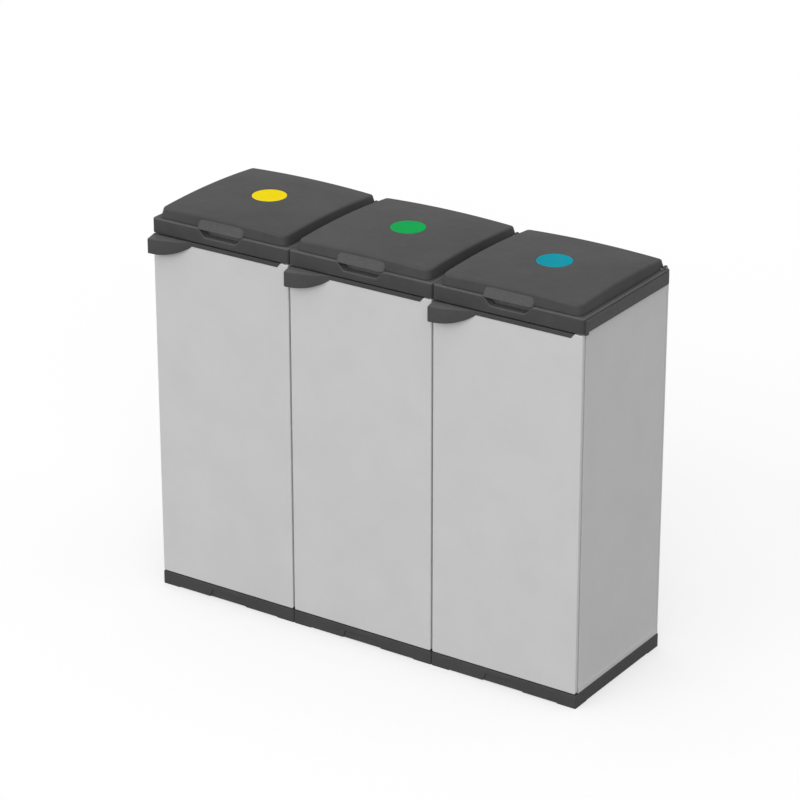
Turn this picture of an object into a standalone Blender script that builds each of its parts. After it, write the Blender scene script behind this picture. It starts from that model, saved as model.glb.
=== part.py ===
"""Three-bay recycling cabinet in moulded resin, in metres, +Z up.

Each bay has a plinth, flat walls, a top frame with a mouth, a ring that holds a sack,
a crowned lid on two pins at the back and a door on two pins at its right-hand edge.
Inside a bay, x runs from the bay's middle, y from the front plane backwards, z from the floor.
"""

import math

import bmesh
import bpy
from mathutils import Matrix, Vector

# Row of bays
BAY_NAMES = ("1", "2", "3")
BAY_PITCH = 0.340
SEAM = 0.0006
BODY_DEPTH = 0.328
CORNER_RADIUS = 0.006
FIT = 0.0003

# Plinth
PLINTH_HEIGHT = 0.029
PLINTH_WALL = 0.004
PLINTH_PLATE = 0.004
FOOT_LENGTH = 0.043
FOOT_LIFT = 0.0015
TOE_RECESS_HALF = 0.047
TOE_RECESS_HEIGHT = 0.019
TOE_RECESS_SLANT = 0.007
TOE_RECESS_DEPTH = 0.0024

# Walls
WALL_HEIGHT = 0.764
SIDE_THICKNESS = 0.006
SIDE_INSET = 0.001
BACK_THICKNESS = 0.005
BACK_INSET = 0.002
LIP_THICKNESS = 0.003
LIP_HEIGHT = 0.010
LIP_RADIUS = 0.004

# Top frame
APRON_HEIGHT = 0.032
APRON_WALL = 0.0035
FLANGE_THICKNESS = 0.004
RIM_ROUNDING = 0.004
MOUTH_SIDE_BORDER = 0.026
MOUTH_FRONT_BORDER = 0.034
MOUTH_BACK_BORDER = 0.036
MOUTH_RADIUS = 0.030
COLLAR_WALL = 0.003
LEDGE_WIDTH = 0.006
LEDGE_DROP = 0.012
LEDGE_THICKNESS = 0.004
NOTCH_TOP_HALF = 0.058
NOTCH_BOTTOM_HALF = 0.036
NOTCH_HEIGHT = 0.017
NOTCH_DEPTH = 0.019
SCOOP_WALL = 0.003

# Rail on the right of each frame, which hooks under the next bay's flange
RAIL_REACH = 0.0048
RAIL_RISE = 0.0045
RAIL_FRONT = 0.005
RAIL_BACK_BORDER = 0.012
RAIL_TIP_LENGTH = 0.0075
RAIL_TIP_GAP = 0.001
RAIL_GAP = 0.0005

# Sack ring
RING_FLANGE = 0.004
RING_WALL = 0.0035
RING_COLLAR_HEIGHT = 0.022

# Lid
LID_SIDE_INSET = 0.011
LID_FRONT_INSET = 0.006
LID_BACK_INSET = 0.002
LID_SIDE_DRAFT = 0.0035
LID_FRONT_DRAFT = 0.0025
LID_BACK_DRAFT = 0.001
LID_FRONT_RADIUS = 0.016
LID_BACK_RADIUS = 0.008
LID_EDGE_RADIUS = 0.005
LID_FRONT_HEIGHT = 0.0195
LID_BACK_HEIGHT = 0.016
LID_ARCH = 0.0065
LID_CROWN = 0.005
LID_SHELL = 0.003
TAB_SIDE_GAP = 0.004
TAB_RISE = 0.0155
TAB_DROP = 0.0015
TAB_LIP_REACH = 0.009
TAB_THICKNESS = 0.0028
TAB_ROOT = 0.0056
DISC_DIAMETER = 0.072
DISC_SETBACK = 0.006
DISC_THICKNESS = 0.0014
DISC_PROUD = 0.0004

# Lid hinge
HINGE_SETBACK = 0.008
HINGE_RISE = 0.0015
EAR_GAP = 0.0018
EAR_WIDTH = 0.0052
EAR_LENGTH = 0.020
EAR_ROUND = 0.0046
EAR_TOE = 0.008
EAR_TOE_RISE = 0.002
LID_SWING_GAP = 0.0012
PIN_DIAMETER = 0.004
LID_PIN_GRIP = 0.009
BOSS_WALL = 0.002

# Door
DOOR_THICKNESS = 0.012
DOOR_SIDE_GAP = 0.0017
DOOR_TOP_GAP = 0.0028
DOOR_BOTTOM_GAP = 0.0022
DOOR_FRONT_RADIUS = 0.005
DOOR_BACK_GAP = 0.0008
DOOR_SKIN = 0.003
DOOR_RIB = 0.003
DOOR_TOP_RAIL = 0.030
DOOR_BOTTOM_RAIL = 0.012
DOOR_STILE = 0.014
DOOR_POCKET_COLUMNS = 4
DOOR_POCKET_ROWS = 7
DOOR_PIN_GRIP = 0.010

# Door handle and its strip
HANDLE_REACH = 0.021
HANDLE_LENGTH = 0.096
HANDLE_DROP = 0.0365
HANDLE_TOP_FALL = 0.005
HANDLE_WALL = 0.003
HANDLE_TIP_REACH = 0.0015
HANDLE_TIP_RISE = 0.026
HANDLE_SOLID_REACH = 0.009
HANDLE_SECTIONS = 10
STRIP_HEIGHT = 0.0085
STRIP_DEPTH = 0.007
STRIP_PROUD = 0.001
STRIP_END_GAP = 0.030

# Door catch
CATCH_WIDTH = 0.040
CATCH_HEIGHT = 0.016
CATCH_DEPTH = 0.014
CATCH_FROM_LEFT = 0.020
CATCH_POLE_PITCH = 0.008
CATCH_POLE_WIDTH = 0.002
STRIKE_THICKNESS = 0.0015
STRIKE_MARGIN = 0.003

# Facets and shading
CORNER_STEPS = 4
ROUND_SIDES = 16
DISC_SIDES = 40
LID_SIDE_POINTS = 5
LID_TOP_LOOP = 0.65
LEAST_RADIUS = 0.0005
SMOOTH_ANGLE = math.radians(40)
OVERLAP = 0.001

# Places that several pieces share
HALF = (BAY_PITCH - SEAM) / 2
APRON_BOTTOM = PLINTH_HEIGHT + WALL_HEIGHT
RIM = APRON_BOTTOM + APRON_HEIGHT
FLANGE_UNDER = RIM - FLANGE_THICKNESS
SIDE_OUTER = HALF - SIDE_INSET
SIDE_INNER = SIDE_OUTER - SIDE_THICKNESS
BACK_OUTER = BODY_DEPTH - BACK_INSET
BACK_INNER = BACK_OUTER - BACK_THICKNESS
LIP_HALF = SIDE_INNER - FIT
LIP_FRONT = DOOR_THICKNESS + DOOR_BACK_GAP
LIP_BACK = BACK_INNER - FIT
DOOR_HALF = HALF - DOOR_SIDE_GAP
DOOR_BOTTOM = PLINTH_HEIGHT + DOOR_BOTTOM_GAP
DOOR_TOP = APRON_BOTTOM - DOOR_TOP_GAP
DOOR_PIVOT = Vector((DOOR_HALF - DOOR_THICKNESS / 2, DOOR_THICKNESS / 2, DOOR_BOTTOM))
PIN_RADIUS = PIN_DIAMETER / 2
HOLE_RADIUS = PIN_RADIUS + FIT
LID_FOOT = RIM + FIT
LID_HALF = HALF - LID_SIDE_INSET
LID_FRONT = LID_FRONT_INSET
LID_BACK = BODY_DEPTH - LID_BACK_INSET
LID_PIVOT = Vector((0, BODY_DEPTH - HINGE_SETBACK, RIM + HINGE_RISE))
EAR_INNER = LID_HALF + EAR_GAP
EAR_OUTER = EAR_INNER + EAR_WIDTH
MOUTH_HALF = HALF - MOUTH_SIDE_BORDER
MOUTH_FRONT = MOUTH_FRONT_BORDER
MOUTH_BACK = BODY_DEPTH - MOUTH_BACK_BORDER
LEDGE_TOP = RIM - LEDGE_DROP
RAIL_BACK = BODY_DEPTH - RAIL_BACK_BORDER
RAIL_TOP = FLANGE_UNDER - RAIL_GAP
RAIL_BOTTOM = APRON_BOTTOM + RAIL_RISE
CATCH_LEFT = -DOOR_HALF + CATCH_FROM_LEFT
CATCH_TOP = APRON_BOTTOM - LIP_HEIGHT - FIT
BAY_EDGES = (-HALF, HALF, 0, BODY_DEPTH)
LIP_EDGES = (-LIP_HALF, LIP_HALF, LIP_FRONT, LIP_BACK)
MOUTH_EDGES = (-MOUTH_HALF, MOUTH_HALF, MOUTH_FRONT, MOUTH_BACK)
HANDLE_LEFT = -DOOR_HALF
STRIP_BOTTOM = DOOR_TOP - STRIP_HEIGHT
STRIP_RIGHT = DOOR_HALF - STRIP_END_GAP

# The row's box is centred on the origin: handles reach out in front, the last rail to the right
FRONT_Y = (HANDLE_REACH - BODY_DEPTH) / 2
ROW_SHIFT = -RAIL_REACH / 2


def arc(centre_x, centre_y, radius, start, end, steps=CORNER_STEPS):
    """Points on a circle from one angle to another, in degrees."""
    angles = [math.radians(start + (end - start) * i / steps) for i in range(steps + 1)]
    return [(centre_x + radius * math.cos(a), centre_y + radius * math.sin(a)) for a in angles]


def rounded_rectangle(left, right, front, back, radius, back_radius=None, between=0):
    """Plan outline with four round corners, and extra points along each straight side."""
    rear = back_radius or radius
    corners = [
        arc(left + radius, front + radius, radius, 180, 270),
        arc(right - radius, front + radius, radius, 270, 360),
        arc(right - rear, back - rear, rear, 0, 90),
        arc(left + rear, back - rear, rear, 90, 180),
    ]
    outline = []
    for corner, following in zip(corners, corners[1:] + corners[:1]):
        outline += corner
        start, end = Vector(corner[-1]), Vector(following[0])
        outline += [tuple(start.lerp(end, (i + 1) / (between + 1))) for i in range(between)]
    return outline


def drawn_in(edges, radius, inset=0.0):
    """A rounded rectangle drawn in by an inset on every side, or let out by a negative one."""
    left, right, front, back = edges
    inner_radius = max(radius - inset, LEAST_RADIUS)
    return rounded_rectangle(left + inset, right - inset, front + inset, back - inset, inner_radius)


def at_height(outline, z):
    """A plan outline lifted to one height."""
    return [(x, y, z) for x, y in outline]


def across(profile, x):
    """A profile in depth and height, set upright at one x."""
    return [(x, y, z) for y, z in profile]


def loft(sections, closed=False):
    """A body through loops of equally many points, capped at both ends or closed on itself."""
    body = bmesh.new()
    loops = [[body.verts.new(point) for point in section] for section in sections]
    pairs = list(zip(loops, loops[1:]))
    if closed:
        pairs.append((loops[-1], loops[0]))
    else:
        body.faces.new(loops[0])
        body.faces.new(loops[-1])
    for near, far in pairs:
        for i, point in enumerate(near):
            j = (i + 1) % len(near)
            body.faces.new((point, near[j], far[j], far[i]))
    bmesh.ops.recalc_face_normals(body, faces=body.faces)
    return body


def prism(outline, bottom, top):
    """A plan outline carried straight up."""
    return loft([at_height(outline, bottom), at_height(outline, top)])


def box(left, right, front, back, bottom, top):
    return prism([(left, front), (right, front), (right, back), (left, back)], bottom, top)


def ring(outer, inner, bottom, top):
    """A wall between two plan outlines of equally many points."""
    loops = [(outer, bottom), (outer, top), (inner, top), (inner, bottom)]
    return loft([at_height(outline, z) for outline, z in loops], closed=True)


def rod(start, end, radius, sides=ROUND_SIDES):
    """A round bar between two points."""
    start, end = Vector(start), Vector(end)
    turn = Vector((0, 0, 1)).rotation_difference(end - start).to_matrix().to_4x4()
    body = bmesh.new()
    bmesh.ops.create_cone(
        body,
        cap_ends=True,
        segments=sides,
        radius1=radius,
        radius2=radius,
        depth=(end - start).length,
        matrix=Matrix.Translation((start + end) / 2) @ turn,
    )
    return body


def mesh_of(body, name):
    mesh = bpy.data.meshes.new(name)
    body.to_mesh(mesh)
    body.free()
    return mesh


def body_of(mesh):
    """A finished mesh taken up again as a body to add to."""
    body = bmesh.new()
    body.from_mesh(mesh)
    bpy.data.meshes.remove(mesh)
    return body


def shaped(name, base, added=(), cut=(), origin=(0, 0, 0)):
    """The mesh of a base body with others joined to it and then cut from it, about an origin."""
    whole = bpy.data.objects.new(name, mesh_of(base, name))
    tools = []
    for operation, bodies in (("UNION", added), ("DIFFERENCE", cut)):
        for body in bodies:
            tool = bpy.data.objects.new("tool", mesh_of(body, "tool"))
            step = whole.modifiers.new(operation, "BOOLEAN")
            step.operation = operation
            step.solver = "EXACT"
            step.object = tool
            tools.append(tool)
    for placed in [whole, *tools]:
        bpy.context.scene.collection.objects.link(placed)
    graph = bpy.context.evaluated_depsgraph_get()
    result = bpy.data.meshes.new_from_object(whole.evaluated_get(graph))
    for placed in [whole, *tools]:
        bpy.data.objects.remove(placed, do_unlink=True)
    result.transform(Matrix.Translation(-Vector(origin)))
    result.shade_smooth()
    result.set_sharp_from_angle(angle=SMOOTH_ANGLE)
    result.name = name
    return result


def lip(bottom, top):
    """Upright lip that stands inside the walls and locates them."""
    outer, inner = drawn_in(LIP_EDGES, LIP_RADIUS), drawn_in(LIP_EDGES, LIP_RADIUS, LIP_THICKNESS)
    return ring(outer, inner, bottom, top)


def bay_outline(inset=0.0):
    """Plan of a bay, drawn in by an inset."""
    return drawn_in(BAY_EDGES, CORNER_RADIUS, inset)


def pin_boss(bottom, top):
    """Boss round a door pin, in the corner of the plinth or of the frame."""
    foot = Vector((DOOR_PIVOT.x, DOOR_PIVOT.y, bottom))
    return rod(foot, foot + Vector((0, 0, top - bottom)), HOLE_RADIUS + BOSS_WALL)


def door_pin_span(top):
    """Heights of the lower and the upper end of a door pin."""
    if top:
        return DOOR_TOP - DOOR_PIN_GRIP, APRON_BOTTOM + DOOR_PIN_GRIP
    return PLINTH_HEIGHT - DOOR_PIN_GRIP, DOOR_BOTTOM + DOOR_PIN_GRIP


def door_pin_hole(top):
    low, high = door_pin_span(top)
    foot = Vector((DOOR_PIVOT.x, DOOR_PIVOT.y, low - FIT))
    return rod(foot, foot + Vector((0, 0, high - low + 2 * FIT)), HOLE_RADIUS)


def plinth():
    """Open tray turned over, with a lip on its plate and a boss under it for the door's lower pin."""
    under = PLINTH_HEIGHT - PLINTH_PLATE
    foot_x, foot_back = HALF - FOOT_LENGTH, BODY_DEPTH - FOOT_LENGTH
    toe_high = TOE_RECESS_HALF - TOE_RECESS_SLANT
    toe = [(-TOE_RECESS_HALF, -OVERLAP), (TOE_RECESS_HALF, -OVERLAP)]
    toe += [(toe_high, TOE_RECESS_HEIGHT), (-toe_high, TOE_RECESS_HEIGHT)]
    tray = shaped(
        "plinth",
        prism(bay_outline(), 0, PLINTH_HEIGHT),
        cut=[
            prism(bay_outline(PLINTH_WALL), -OVERLAP, under),
            box(-foot_x, foot_x, -OVERLAP, BODY_DEPTH + OVERLAP, -OVERLAP, FOOT_LIFT),
            box(-HALF - OVERLAP, HALF + OVERLAP, FOOT_LENGTH, foot_back, -OVERLAP, FOOT_LIFT),
            loft([[(x, y, z) for x, z in toe] for y in (-OVERLAP, TOE_RECESS_DEPTH)]),
        ],
    )
    return shaped(
        "plinth",
        body_of(tray),
        added=[
            lip(PLINTH_HEIGHT - OVERLAP, PLINTH_HEIGHT + LIP_HEIGHT),
            pin_boss(PLINTH_HEIGHT - DOOR_PIN_GRIP - BOSS_WALL, under + OVERLAP),
        ],
        cut=[door_pin_hole(top=False)],
    )


def side_panel():
    """Left wall of a bay; the right one is the same board on the other side."""
    return shaped(
        "side_panel",
        box(
            -SIDE_OUTER,
            -SIDE_INNER,
            LIP_FRONT,
            BACK_INNER - FIT,
            PLINTH_HEIGHT + FIT,
            APRON_BOTTOM - FIT,
        ),
    )


def back_panel():
    return shaped(
        "back_panel",
        box(
            -SIDE_OUTER,
            SIDE_OUTER,
            BACK_INNER,
            BACK_OUTER,
            PLINTH_HEIGHT + FIT,
            APRON_BOTTOM - FIT,
        ),
    )


def lid_swing():
    """How far the lid's back corner reaches from the hinge as the lid turns."""
    return math.hypot(LID_BACK - LID_PIVOT.y, LID_PIVOT.z - LID_FOOT)


def ear(side):
    """Ear at a rear corner of the frame that carries a lid pin."""
    front = LID_PIVOT.y - EAR_LENGTH / 2
    profile = [(front - EAR_TOE, RIM - OVERLAP), (front, RIM + EAR_TOE_RISE)]
    profile += arc(LID_PIVOT.y, LID_PIVOT.z, EAR_ROUND, 150, 30)
    profile += [(LID_PIVOT.y + EAR_ROUND, RIM - OVERLAP)]
    return loft([across(profile, side * x) for x in (EAR_INNER, EAR_OUTER)])


def lid_pin_span(side):
    """Ends of a lid pin: flush in the ear, and inside the lid's boss."""
    outer = Vector((side * (EAR_OUTER - FIT), LID_PIVOT.y, LID_PIVOT.z))
    inner = Vector((side * (LID_HALF - LID_SHELL - LID_PIN_GRIP), LID_PIVOT.y, LID_PIVOT.z))
    return inner, outer


def top_frame():
    swing_low = LID_PIVOT.z - lid_swing() - LID_SWING_GAP
    swing_front = LID_PIVOT.y - lid_swing() - LID_SWING_GAP
    rounding = RIM_ROUNDING
    shoulder = rounding * (1 - math.sqrt(0.5))
    base = loft(
        [
            at_height(bay_outline(), APRON_BOTTOM),
            at_height(bay_outline(), RIM - rounding),
            at_height(bay_outline(shoulder), RIM - shoulder),
            at_height(bay_outline(rounding), RIM),
        ]
    )
    hollow = rounded_rectangle(
        -HALF + RAIL_REACH + RAIL_GAP + APRON_WALL,
        HALF - APRON_WALL,
        APRON_WALL,
        BODY_DEPTH - APRON_WALL,
        CORNER_RADIUS - APRON_WALL,
    )
    shell = shaped("top_frame", base, cut=[prism(hollow, APRON_BOTTOM - OVERLAP, FLANGE_UNDER)])
    collar = drawn_in(MOUTH_EDGES, MOUTH_RADIUS, -COLLAR_WALL)
    mouth = drawn_in(MOUTH_EDGES, MOUTH_RADIUS)
    throat = drawn_in(MOUTH_EDGES, MOUTH_RADIUS, LEDGE_WIDTH)
    scoop_half, scoop_floor = NOTCH_TOP_HALF + SCOOP_WALL, RIM - NOTCH_HEIGHT - SCOOP_WALL
    notch = [(-NOTCH_BOTTOM_HALF, RIM - NOTCH_HEIGHT), (NOTCH_BOTTOM_HALF, RIM - NOTCH_HEIGHT)]
    notch += [(NOTCH_TOP_HALF, RIM), (NOTCH_TOP_HALF, RIM + OVERLAP)]
    notch += [(-NOTCH_TOP_HALF, RIM + OVERLAP), (-NOTCH_TOP_HALF, RIM)]
    beam_low = swing_low - FLANGE_THICKNESS
    holes = [rod(*stretched(*lid_pin_span(side)), HOLE_RADIUS) for side in (-1, 1)]
    return shaped(
        "top_frame",
        body_of(shell),
        added=[
            lip(APRON_BOTTOM - LIP_HEIGHT, FLANGE_UNDER + OVERLAP),
            prism(collar, LEDGE_TOP - LEDGE_THICKNESS, FLANGE_UNDER + OVERLAP),
            box(-scoop_half, scoop_half, OVERLAP, NOTCH_DEPTH + SCOOP_WALL, scoop_floor, RIM - OVERLAP),
            box(
                -EAR_INNER - OVERLAP,
                EAR_INNER + OVERLAP,
                swing_front - FLANGE_THICKNESS,
                BODY_DEPTH - OVERLAP,
                beam_low,
                FLANGE_UNDER + OVERLAP,
            ),
            pin_boss(APRON_BOTTOM, FLANGE_UNDER + OVERLAP),
            box(HALF - OVERLAP, HALF + RAIL_REACH, RAIL_FRONT, RAIL_BACK, RAIL_BOTTOM, RAIL_TOP),
            box(
                HALF - OVERLAP,
                HALF + RAIL_REACH,
                RAIL_FRONT,
                RAIL_FRONT + RAIL_TIP_LENGTH,
                DOOR_TOP + RAIL_TIP_GAP,
                RAIL_BOTTOM + OVERLAP,
            ),
            ear(-1),
            ear(1),
        ],
        cut=[
            prism(mouth, LEDGE_TOP, RIM + OVERLAP),
            prism(throat, LEDGE_TOP - LEDGE_THICKNESS - OVERLAP, LEDGE_TOP + OVERLAP),
            loft([[(x, y, z) for x, z in notch] for y in (-OVERLAP, NOTCH_DEPTH)]),
            box(-EAR_INNER, EAR_INNER, swing_front, BODY_DEPTH + OVERLAP, swing_low, RIM + OVERLAP),
            box(
                -HALF - OVERLAP,
                -HALF + RAIL_REACH + RAIL_GAP,
                RAIL_FRONT - RAIL_GAP,
                RAIL_BACK + RAIL_GAP,
                APRON_BOTTOM - OVERLAP,
                FLANGE_UNDER,
            ),
            door_pin_hole(top=True),
            *holes,
        ],
    )


def stretched(start, end):
    """Both ends of a pin moved out by the clearance that its hole keeps."""
    along = (end - start).normalized() * 2 * FIT
    return start - along, end + along


def bag_ring():
    """Ring that lies on the mouth's ledge; the sack's edge folds over it."""
    seat = LEDGE_TOP + FIT
    gap = LEDGE_WIDTH + FIT
    outer = drawn_in(MOUTH_EDGES, MOUTH_RADIUS, FIT)
    neck = drawn_in(MOUTH_EDGES, MOUTH_RADIUS, gap)
    opening = drawn_in(MOUTH_EDGES, MOUTH_RADIUS, gap + RING_WALL)
    loops = [
        at_height(outer, seat),
        at_height(outer, seat + RING_FLANGE),
        at_height(opening, seat + RING_FLANGE),
        at_height(opening, seat - RING_COLLAR_HEIGHT),
        at_height(neck, seat - RING_COLLAR_HEIGHT),
        at_height(neck, seat),
    ]
    return shaped("bag_ring", loft(loops, closed=True))


def lid_top(x, y):
    """Height of the lid's top: it slopes from back to front, arches along and is crowned across."""
    middle, half_depth = (LID_FRONT + LID_BACK) / 2, (LID_BACK - LID_FRONT) / 2
    along, aside = (y - middle) / half_depth, x / LID_HALF
    slope = LID_FRONT_HEIGHT + (LID_BACK_HEIGHT - LID_FRONT_HEIGHT) * (along + 1) / 2
    return RIM + slope + LID_ARCH * (1 - along**2) + LID_CROWN * (1 - aside**2)


def lid_outline(draft, inset):
    """Plan of the lid with a share of its draft, drawn in by an inset all round."""
    return rounded_rectangle(
        -LID_HALF + draft * LID_SIDE_DRAFT + inset,
        LID_HALF - draft * LID_SIDE_DRAFT - inset,
        LID_FRONT + draft * LID_FRONT_DRAFT + inset,
        LID_BACK - draft * LID_BACK_DRAFT - inset,
        max(LID_FRONT_RADIUS - inset, LEAST_RADIUS),
        max(LID_BACK_RADIUS - inset, LEAST_RADIUS),
        between=LID_SIDE_POINTS,
    )


def drawn_to_middle(outline, share):
    """An outline shrunk about the lid's middle."""
    middle = (LID_FRONT + LID_BACK) / 2
    return [(x * share, middle + (y - middle) * share) for x, y in outline]


def round_disc(radius):
    """Plan circle about the colour disc whose points lie in step with those of the lid's outline."""
    count = len(lid_outline(1, 0))
    turn = 360 / count
    start = 225 - turn * CORNER_STEPS / 2
    centre = disc_place()
    return arc(centre.x, centre.y, radius, start, start + turn * (count - 1), count - 1)


def lid_skin(inset, drop):
    """Loops of one lid skin, from round its disc out to its edge and down to its foot."""
    edge = lid_outline(1, inset + LID_EDGE_RADIUS)
    bend = lid_outline(1, inset + LID_EDGE_RADIUS * (1 - math.sqrt(0.5)))
    wall = lid_outline(1, inset)
    fall = LID_EDGE_RADIUS * (1 - math.sqrt(0.5))
    return [
        [(x, y, lid_top(x, y) - drop) for x, y in drawn_to_middle(edge, LID_TOP_LOOP)],
        [(x, y, lid_top(x, y) - drop) for x, y in edge],
        [(x, y, lid_top(x, y) - drop - fall) for x, y in bend],
        [(x, y, lid_top(x, y) - drop - LID_EDGE_RADIUS) for x, y in wall],
        at_height(lid_outline(0, inset), LID_FOOT),
    ]


def lid_shell():
    """The lid's two skins, joined at the foot, with a flat-bottomed recess for the disc."""
    recess = round_disc(DISC_DIAMETER / 2 + FIT)
    floor = disc_place().z - FIT
    outer = [at_height(recess, floor), [(x, y, lid_top(x, y)) for x, y in recess]]
    under = at_height(round_disc(DISC_DIAMETER / 2 + FIT + LID_SHELL), floor - LID_SHELL)
    return loft(outer + lid_skin(0, 0) + lid_skin(LID_SHELL, LID_SHELL)[::-1] + [under])


def notch_half(z):
    """Half the width of the frame's finger notch at a height."""
    return NOTCH_TOP_HALF - (NOTCH_TOP_HALF - NOTCH_BOTTOM_HALF) * (RIM - z) / NOTCH_HEIGHT


def lid_tab():
    """The flared tab: from the lid's front wall down and forward to a narrower lip in the notch."""
    root_y = LID_FRONT + LID_FRONT_DRAFT * TAB_RISE / LID_FRONT_HEIGHT + LID_SHELL / 2
    root_z, lip_z = LID_FOOT + TAB_RISE, LID_FOOT - TAB_DROP
    lip_y = LID_FRONT - TAB_LIP_REACH
    profile = [
        (root_y, root_z),
        (lip_y, lip_z + TAB_THICKNESS),
        (lip_y, lip_z),
        (lip_y + TAB_THICKNESS, lip_z),
        (root_y, root_z - TAB_ROOT),
    ]
    root_half, lip_half = notch_half(RIM) - TAB_SIDE_GAP, notch_half(lip_z) - TAB_SIDE_GAP
    flare = (root_half - lip_half) / (root_y - lip_y)
    halves = [lip_half + flare * (y - lip_y) for y, _ in profile]
    ends = [[(side * half, *point) for half, point in zip(halves, profile)] for side in (-1, 1)]
    return loft(ends)


def lid():
    boss_reach = HOLE_RADIUS + BOSS_WALL
    bosses, holes = [], []
    for side in (-1, 1):
        inner, outer = lid_pin_span(side)
        boss_end = Vector((side * (LID_HALF - LID_BACK_RADIUS), LID_PIVOT.y, LID_PIVOT.z))
        bosses.append(rod(inner - Vector((side * BOSS_WALL, 0, 0)), boss_end, boss_reach))
        holes.append(rod(*stretched(inner, outer), HOLE_RADIUS))
    return shaped("lid", lid_shell(), added=[lid_tab(), *bosses], cut=holes, origin=LID_PIVOT)


def disc_place():
    """Underside of the colour disc, let into the middle of the lid's top."""
    middle = (LID_FRONT + LID_BACK) / 2 + DISC_SETBACK
    return Vector((0, middle, lid_top(0, middle) + DISC_PROUD - DISC_THICKNESS))


def lid_disc():
    low = disc_place()
    body = rod(low, low + Vector((0, 0, DISC_THICKNESS)), DISC_DIAMETER / 2, DISC_SIDES)
    return shaped("lid_disc", body, origin=LID_PIVOT)


def lid_pin():
    """Left pin of a lid; the right one is the same on the other side."""
    return shaped("lid_pin", rod(*lid_pin_span(-1), PIN_RADIUS))


def door_pockets():
    """Recesses in the door's back that leave a grid of ribs."""
    left, right = -DOOR_HALF + DOOR_RIB, DOOR_HALF - DOOR_STILE
    low, high = DOOR_BOTTOM + DOOR_BOTTOM_RAIL, DOOR_TOP - DOOR_TOP_RAIL
    width = (right - left + DOOR_RIB) / DOOR_POCKET_COLUMNS
    height = (high - low + DOOR_RIB) / DOOR_POCKET_ROWS
    pockets = []
    for column in range(DOOR_POCKET_COLUMNS):
        for row in range(DOOR_POCKET_ROWS):
            x, z = left + column * width, low + row * height
            pockets.append(
                box(x, x + width - DOOR_RIB, DOOR_SKIN, DOOR_THICKNESS + OVERLAP, z, z + height - DOOR_RIB)
            )
    return pockets


def door():
    bend = DOOR_FRONT_RADIUS
    plan = arc(-DOOR_HALF + bend, bend, bend, 180, 270)
    plan += arc(DOOR_HALF - bend, bend, bend, 270, 360)
    plan += arc(DOOR_PIVOT.x, DOOR_PIVOT.y, DOOR_THICKNESS / 2, 0, 90)
    plan += [(-DOOR_HALF, DOOR_THICKNESS)]
    rebate = box(
        -DOOR_HALF - OVERLAP,
        STRIP_RIGHT + FIT,
        -OVERLAP,
        STRIP_DEPTH + FIT,
        STRIP_BOTTOM - FIT,
        DOOR_TOP + OVERLAP,
    )
    strike_left, strike_right, strike_low, strike_high = strike_edges(FIT)
    strike_seat = box(
        strike_left,
        strike_right,
        DOOR_THICKNESS - STRIKE_THICKNESS - FIT,
        DOOR_THICKNESS + OVERLAP,
        strike_low,
        strike_high,
    )
    return shaped(
        "door",
        prism(plan, DOOR_BOTTOM, DOOR_TOP),
        cut=[
            *door_pockets(),
            rebate,
            strike_seat,
            door_pin_hole(top=True),
            door_pin_hole(top=False),
        ],
        origin=DOOR_PIVOT,
    )


def handle_section(share, inset=0.0):
    """Handle's outline at a share of its length: its reach falls as a parabola and its foot rises."""
    reach = max(HANDLE_REACH * (1 - share**2), HANDLE_TIP_REACH)
    top = DOOR_TOP - HANDLE_TOP_FALL * (1 - share)
    foot = DOOR_TOP - HANDLE_DROP + HANDLE_TIP_RISE * share**2.5
    if inset:
        behind, below = FIT, foot - HANDLE_DROP
        front = min(-reach + inset, -inset)
        return [(behind, DOOR_TOP - inset), (front, top - inset), (front, below), (behind, below)]
    return [(-FIT, DOOR_TOP), (-reach, top), (-reach, foot), (-FIT, foot)]


def door_handle():
    shares = [i / HANDLE_SECTIONS for i in range(HANDLE_SECTIONS + 1)]
    shell = loft([across(handle_section(s), HANDLE_LEFT + HANDLE_LENGTH * s) for s in shares])
    hollow_start = HANDLE_WALL / HANDLE_LENGTH
    hollow_end = math.sqrt(1 - HANDLE_SOLID_REACH / HANDLE_REACH)
    spread = [hollow_start + (hollow_end - hollow_start) * s for s in shares]
    grip = loft([across(handle_section(s, HANDLE_WALL), HANDLE_LEFT + HANDLE_LENGTH * s) for s in spread])
    strip = box(HANDLE_LEFT, STRIP_RIGHT, -STRIP_PROUD, STRIP_DEPTH, STRIP_BOTTOM, DOOR_TOP)
    hollowed = shaped("door_handle", shell, cut=[grip])
    return shaped("door_handle", body_of(hollowed), added=[strip], origin=DOOR_PIVOT)


def door_pin(top):
    low, high = door_pin_span(top)
    foot = Vector((DOOR_PIVOT.x, DOOR_PIVOT.y, low))
    return shaped("door_pin", rod(foot, foot + Vector((0, 0, high - low)), PIN_RADIUS))


def door_catch():
    """Magnet catch under the frame's lip, with two poles that face the strike plate."""
    middle = CATCH_LEFT + CATCH_WIDTH / 2
    low = CATCH_TOP - CATCH_HEIGHT
    poles = []
    for side in (-1, 1):
        left = middle + (side * CATCH_POLE_PITCH - CATCH_POLE_WIDTH) / 2
        poles.append(
            box(
                left,
                left + CATCH_POLE_WIDTH,
                DOOR_THICKNESS + FIT,
                LIP_FRONT + OVERLAP,
                low + STRIKE_MARGIN,
                CATCH_TOP - STRIKE_MARGIN,
            )
        )
    case = box(CATCH_LEFT, CATCH_LEFT + CATCH_WIDTH, LIP_FRONT, LIP_FRONT + CATCH_DEPTH, low, CATCH_TOP)
    return shaped("door_catch", case, added=poles)


def strike_edges(grown=0.0):
    """Left, right, lower and upper edge of the strike plate, grown by a clearance."""
    margin = STRIKE_MARGIN - grown
    return (
        CATCH_LEFT + margin,
        CATCH_LEFT + CATCH_WIDTH - margin,
        CATCH_TOP - CATCH_HEIGHT + margin,
        CATCH_TOP - margin,
    )


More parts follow.
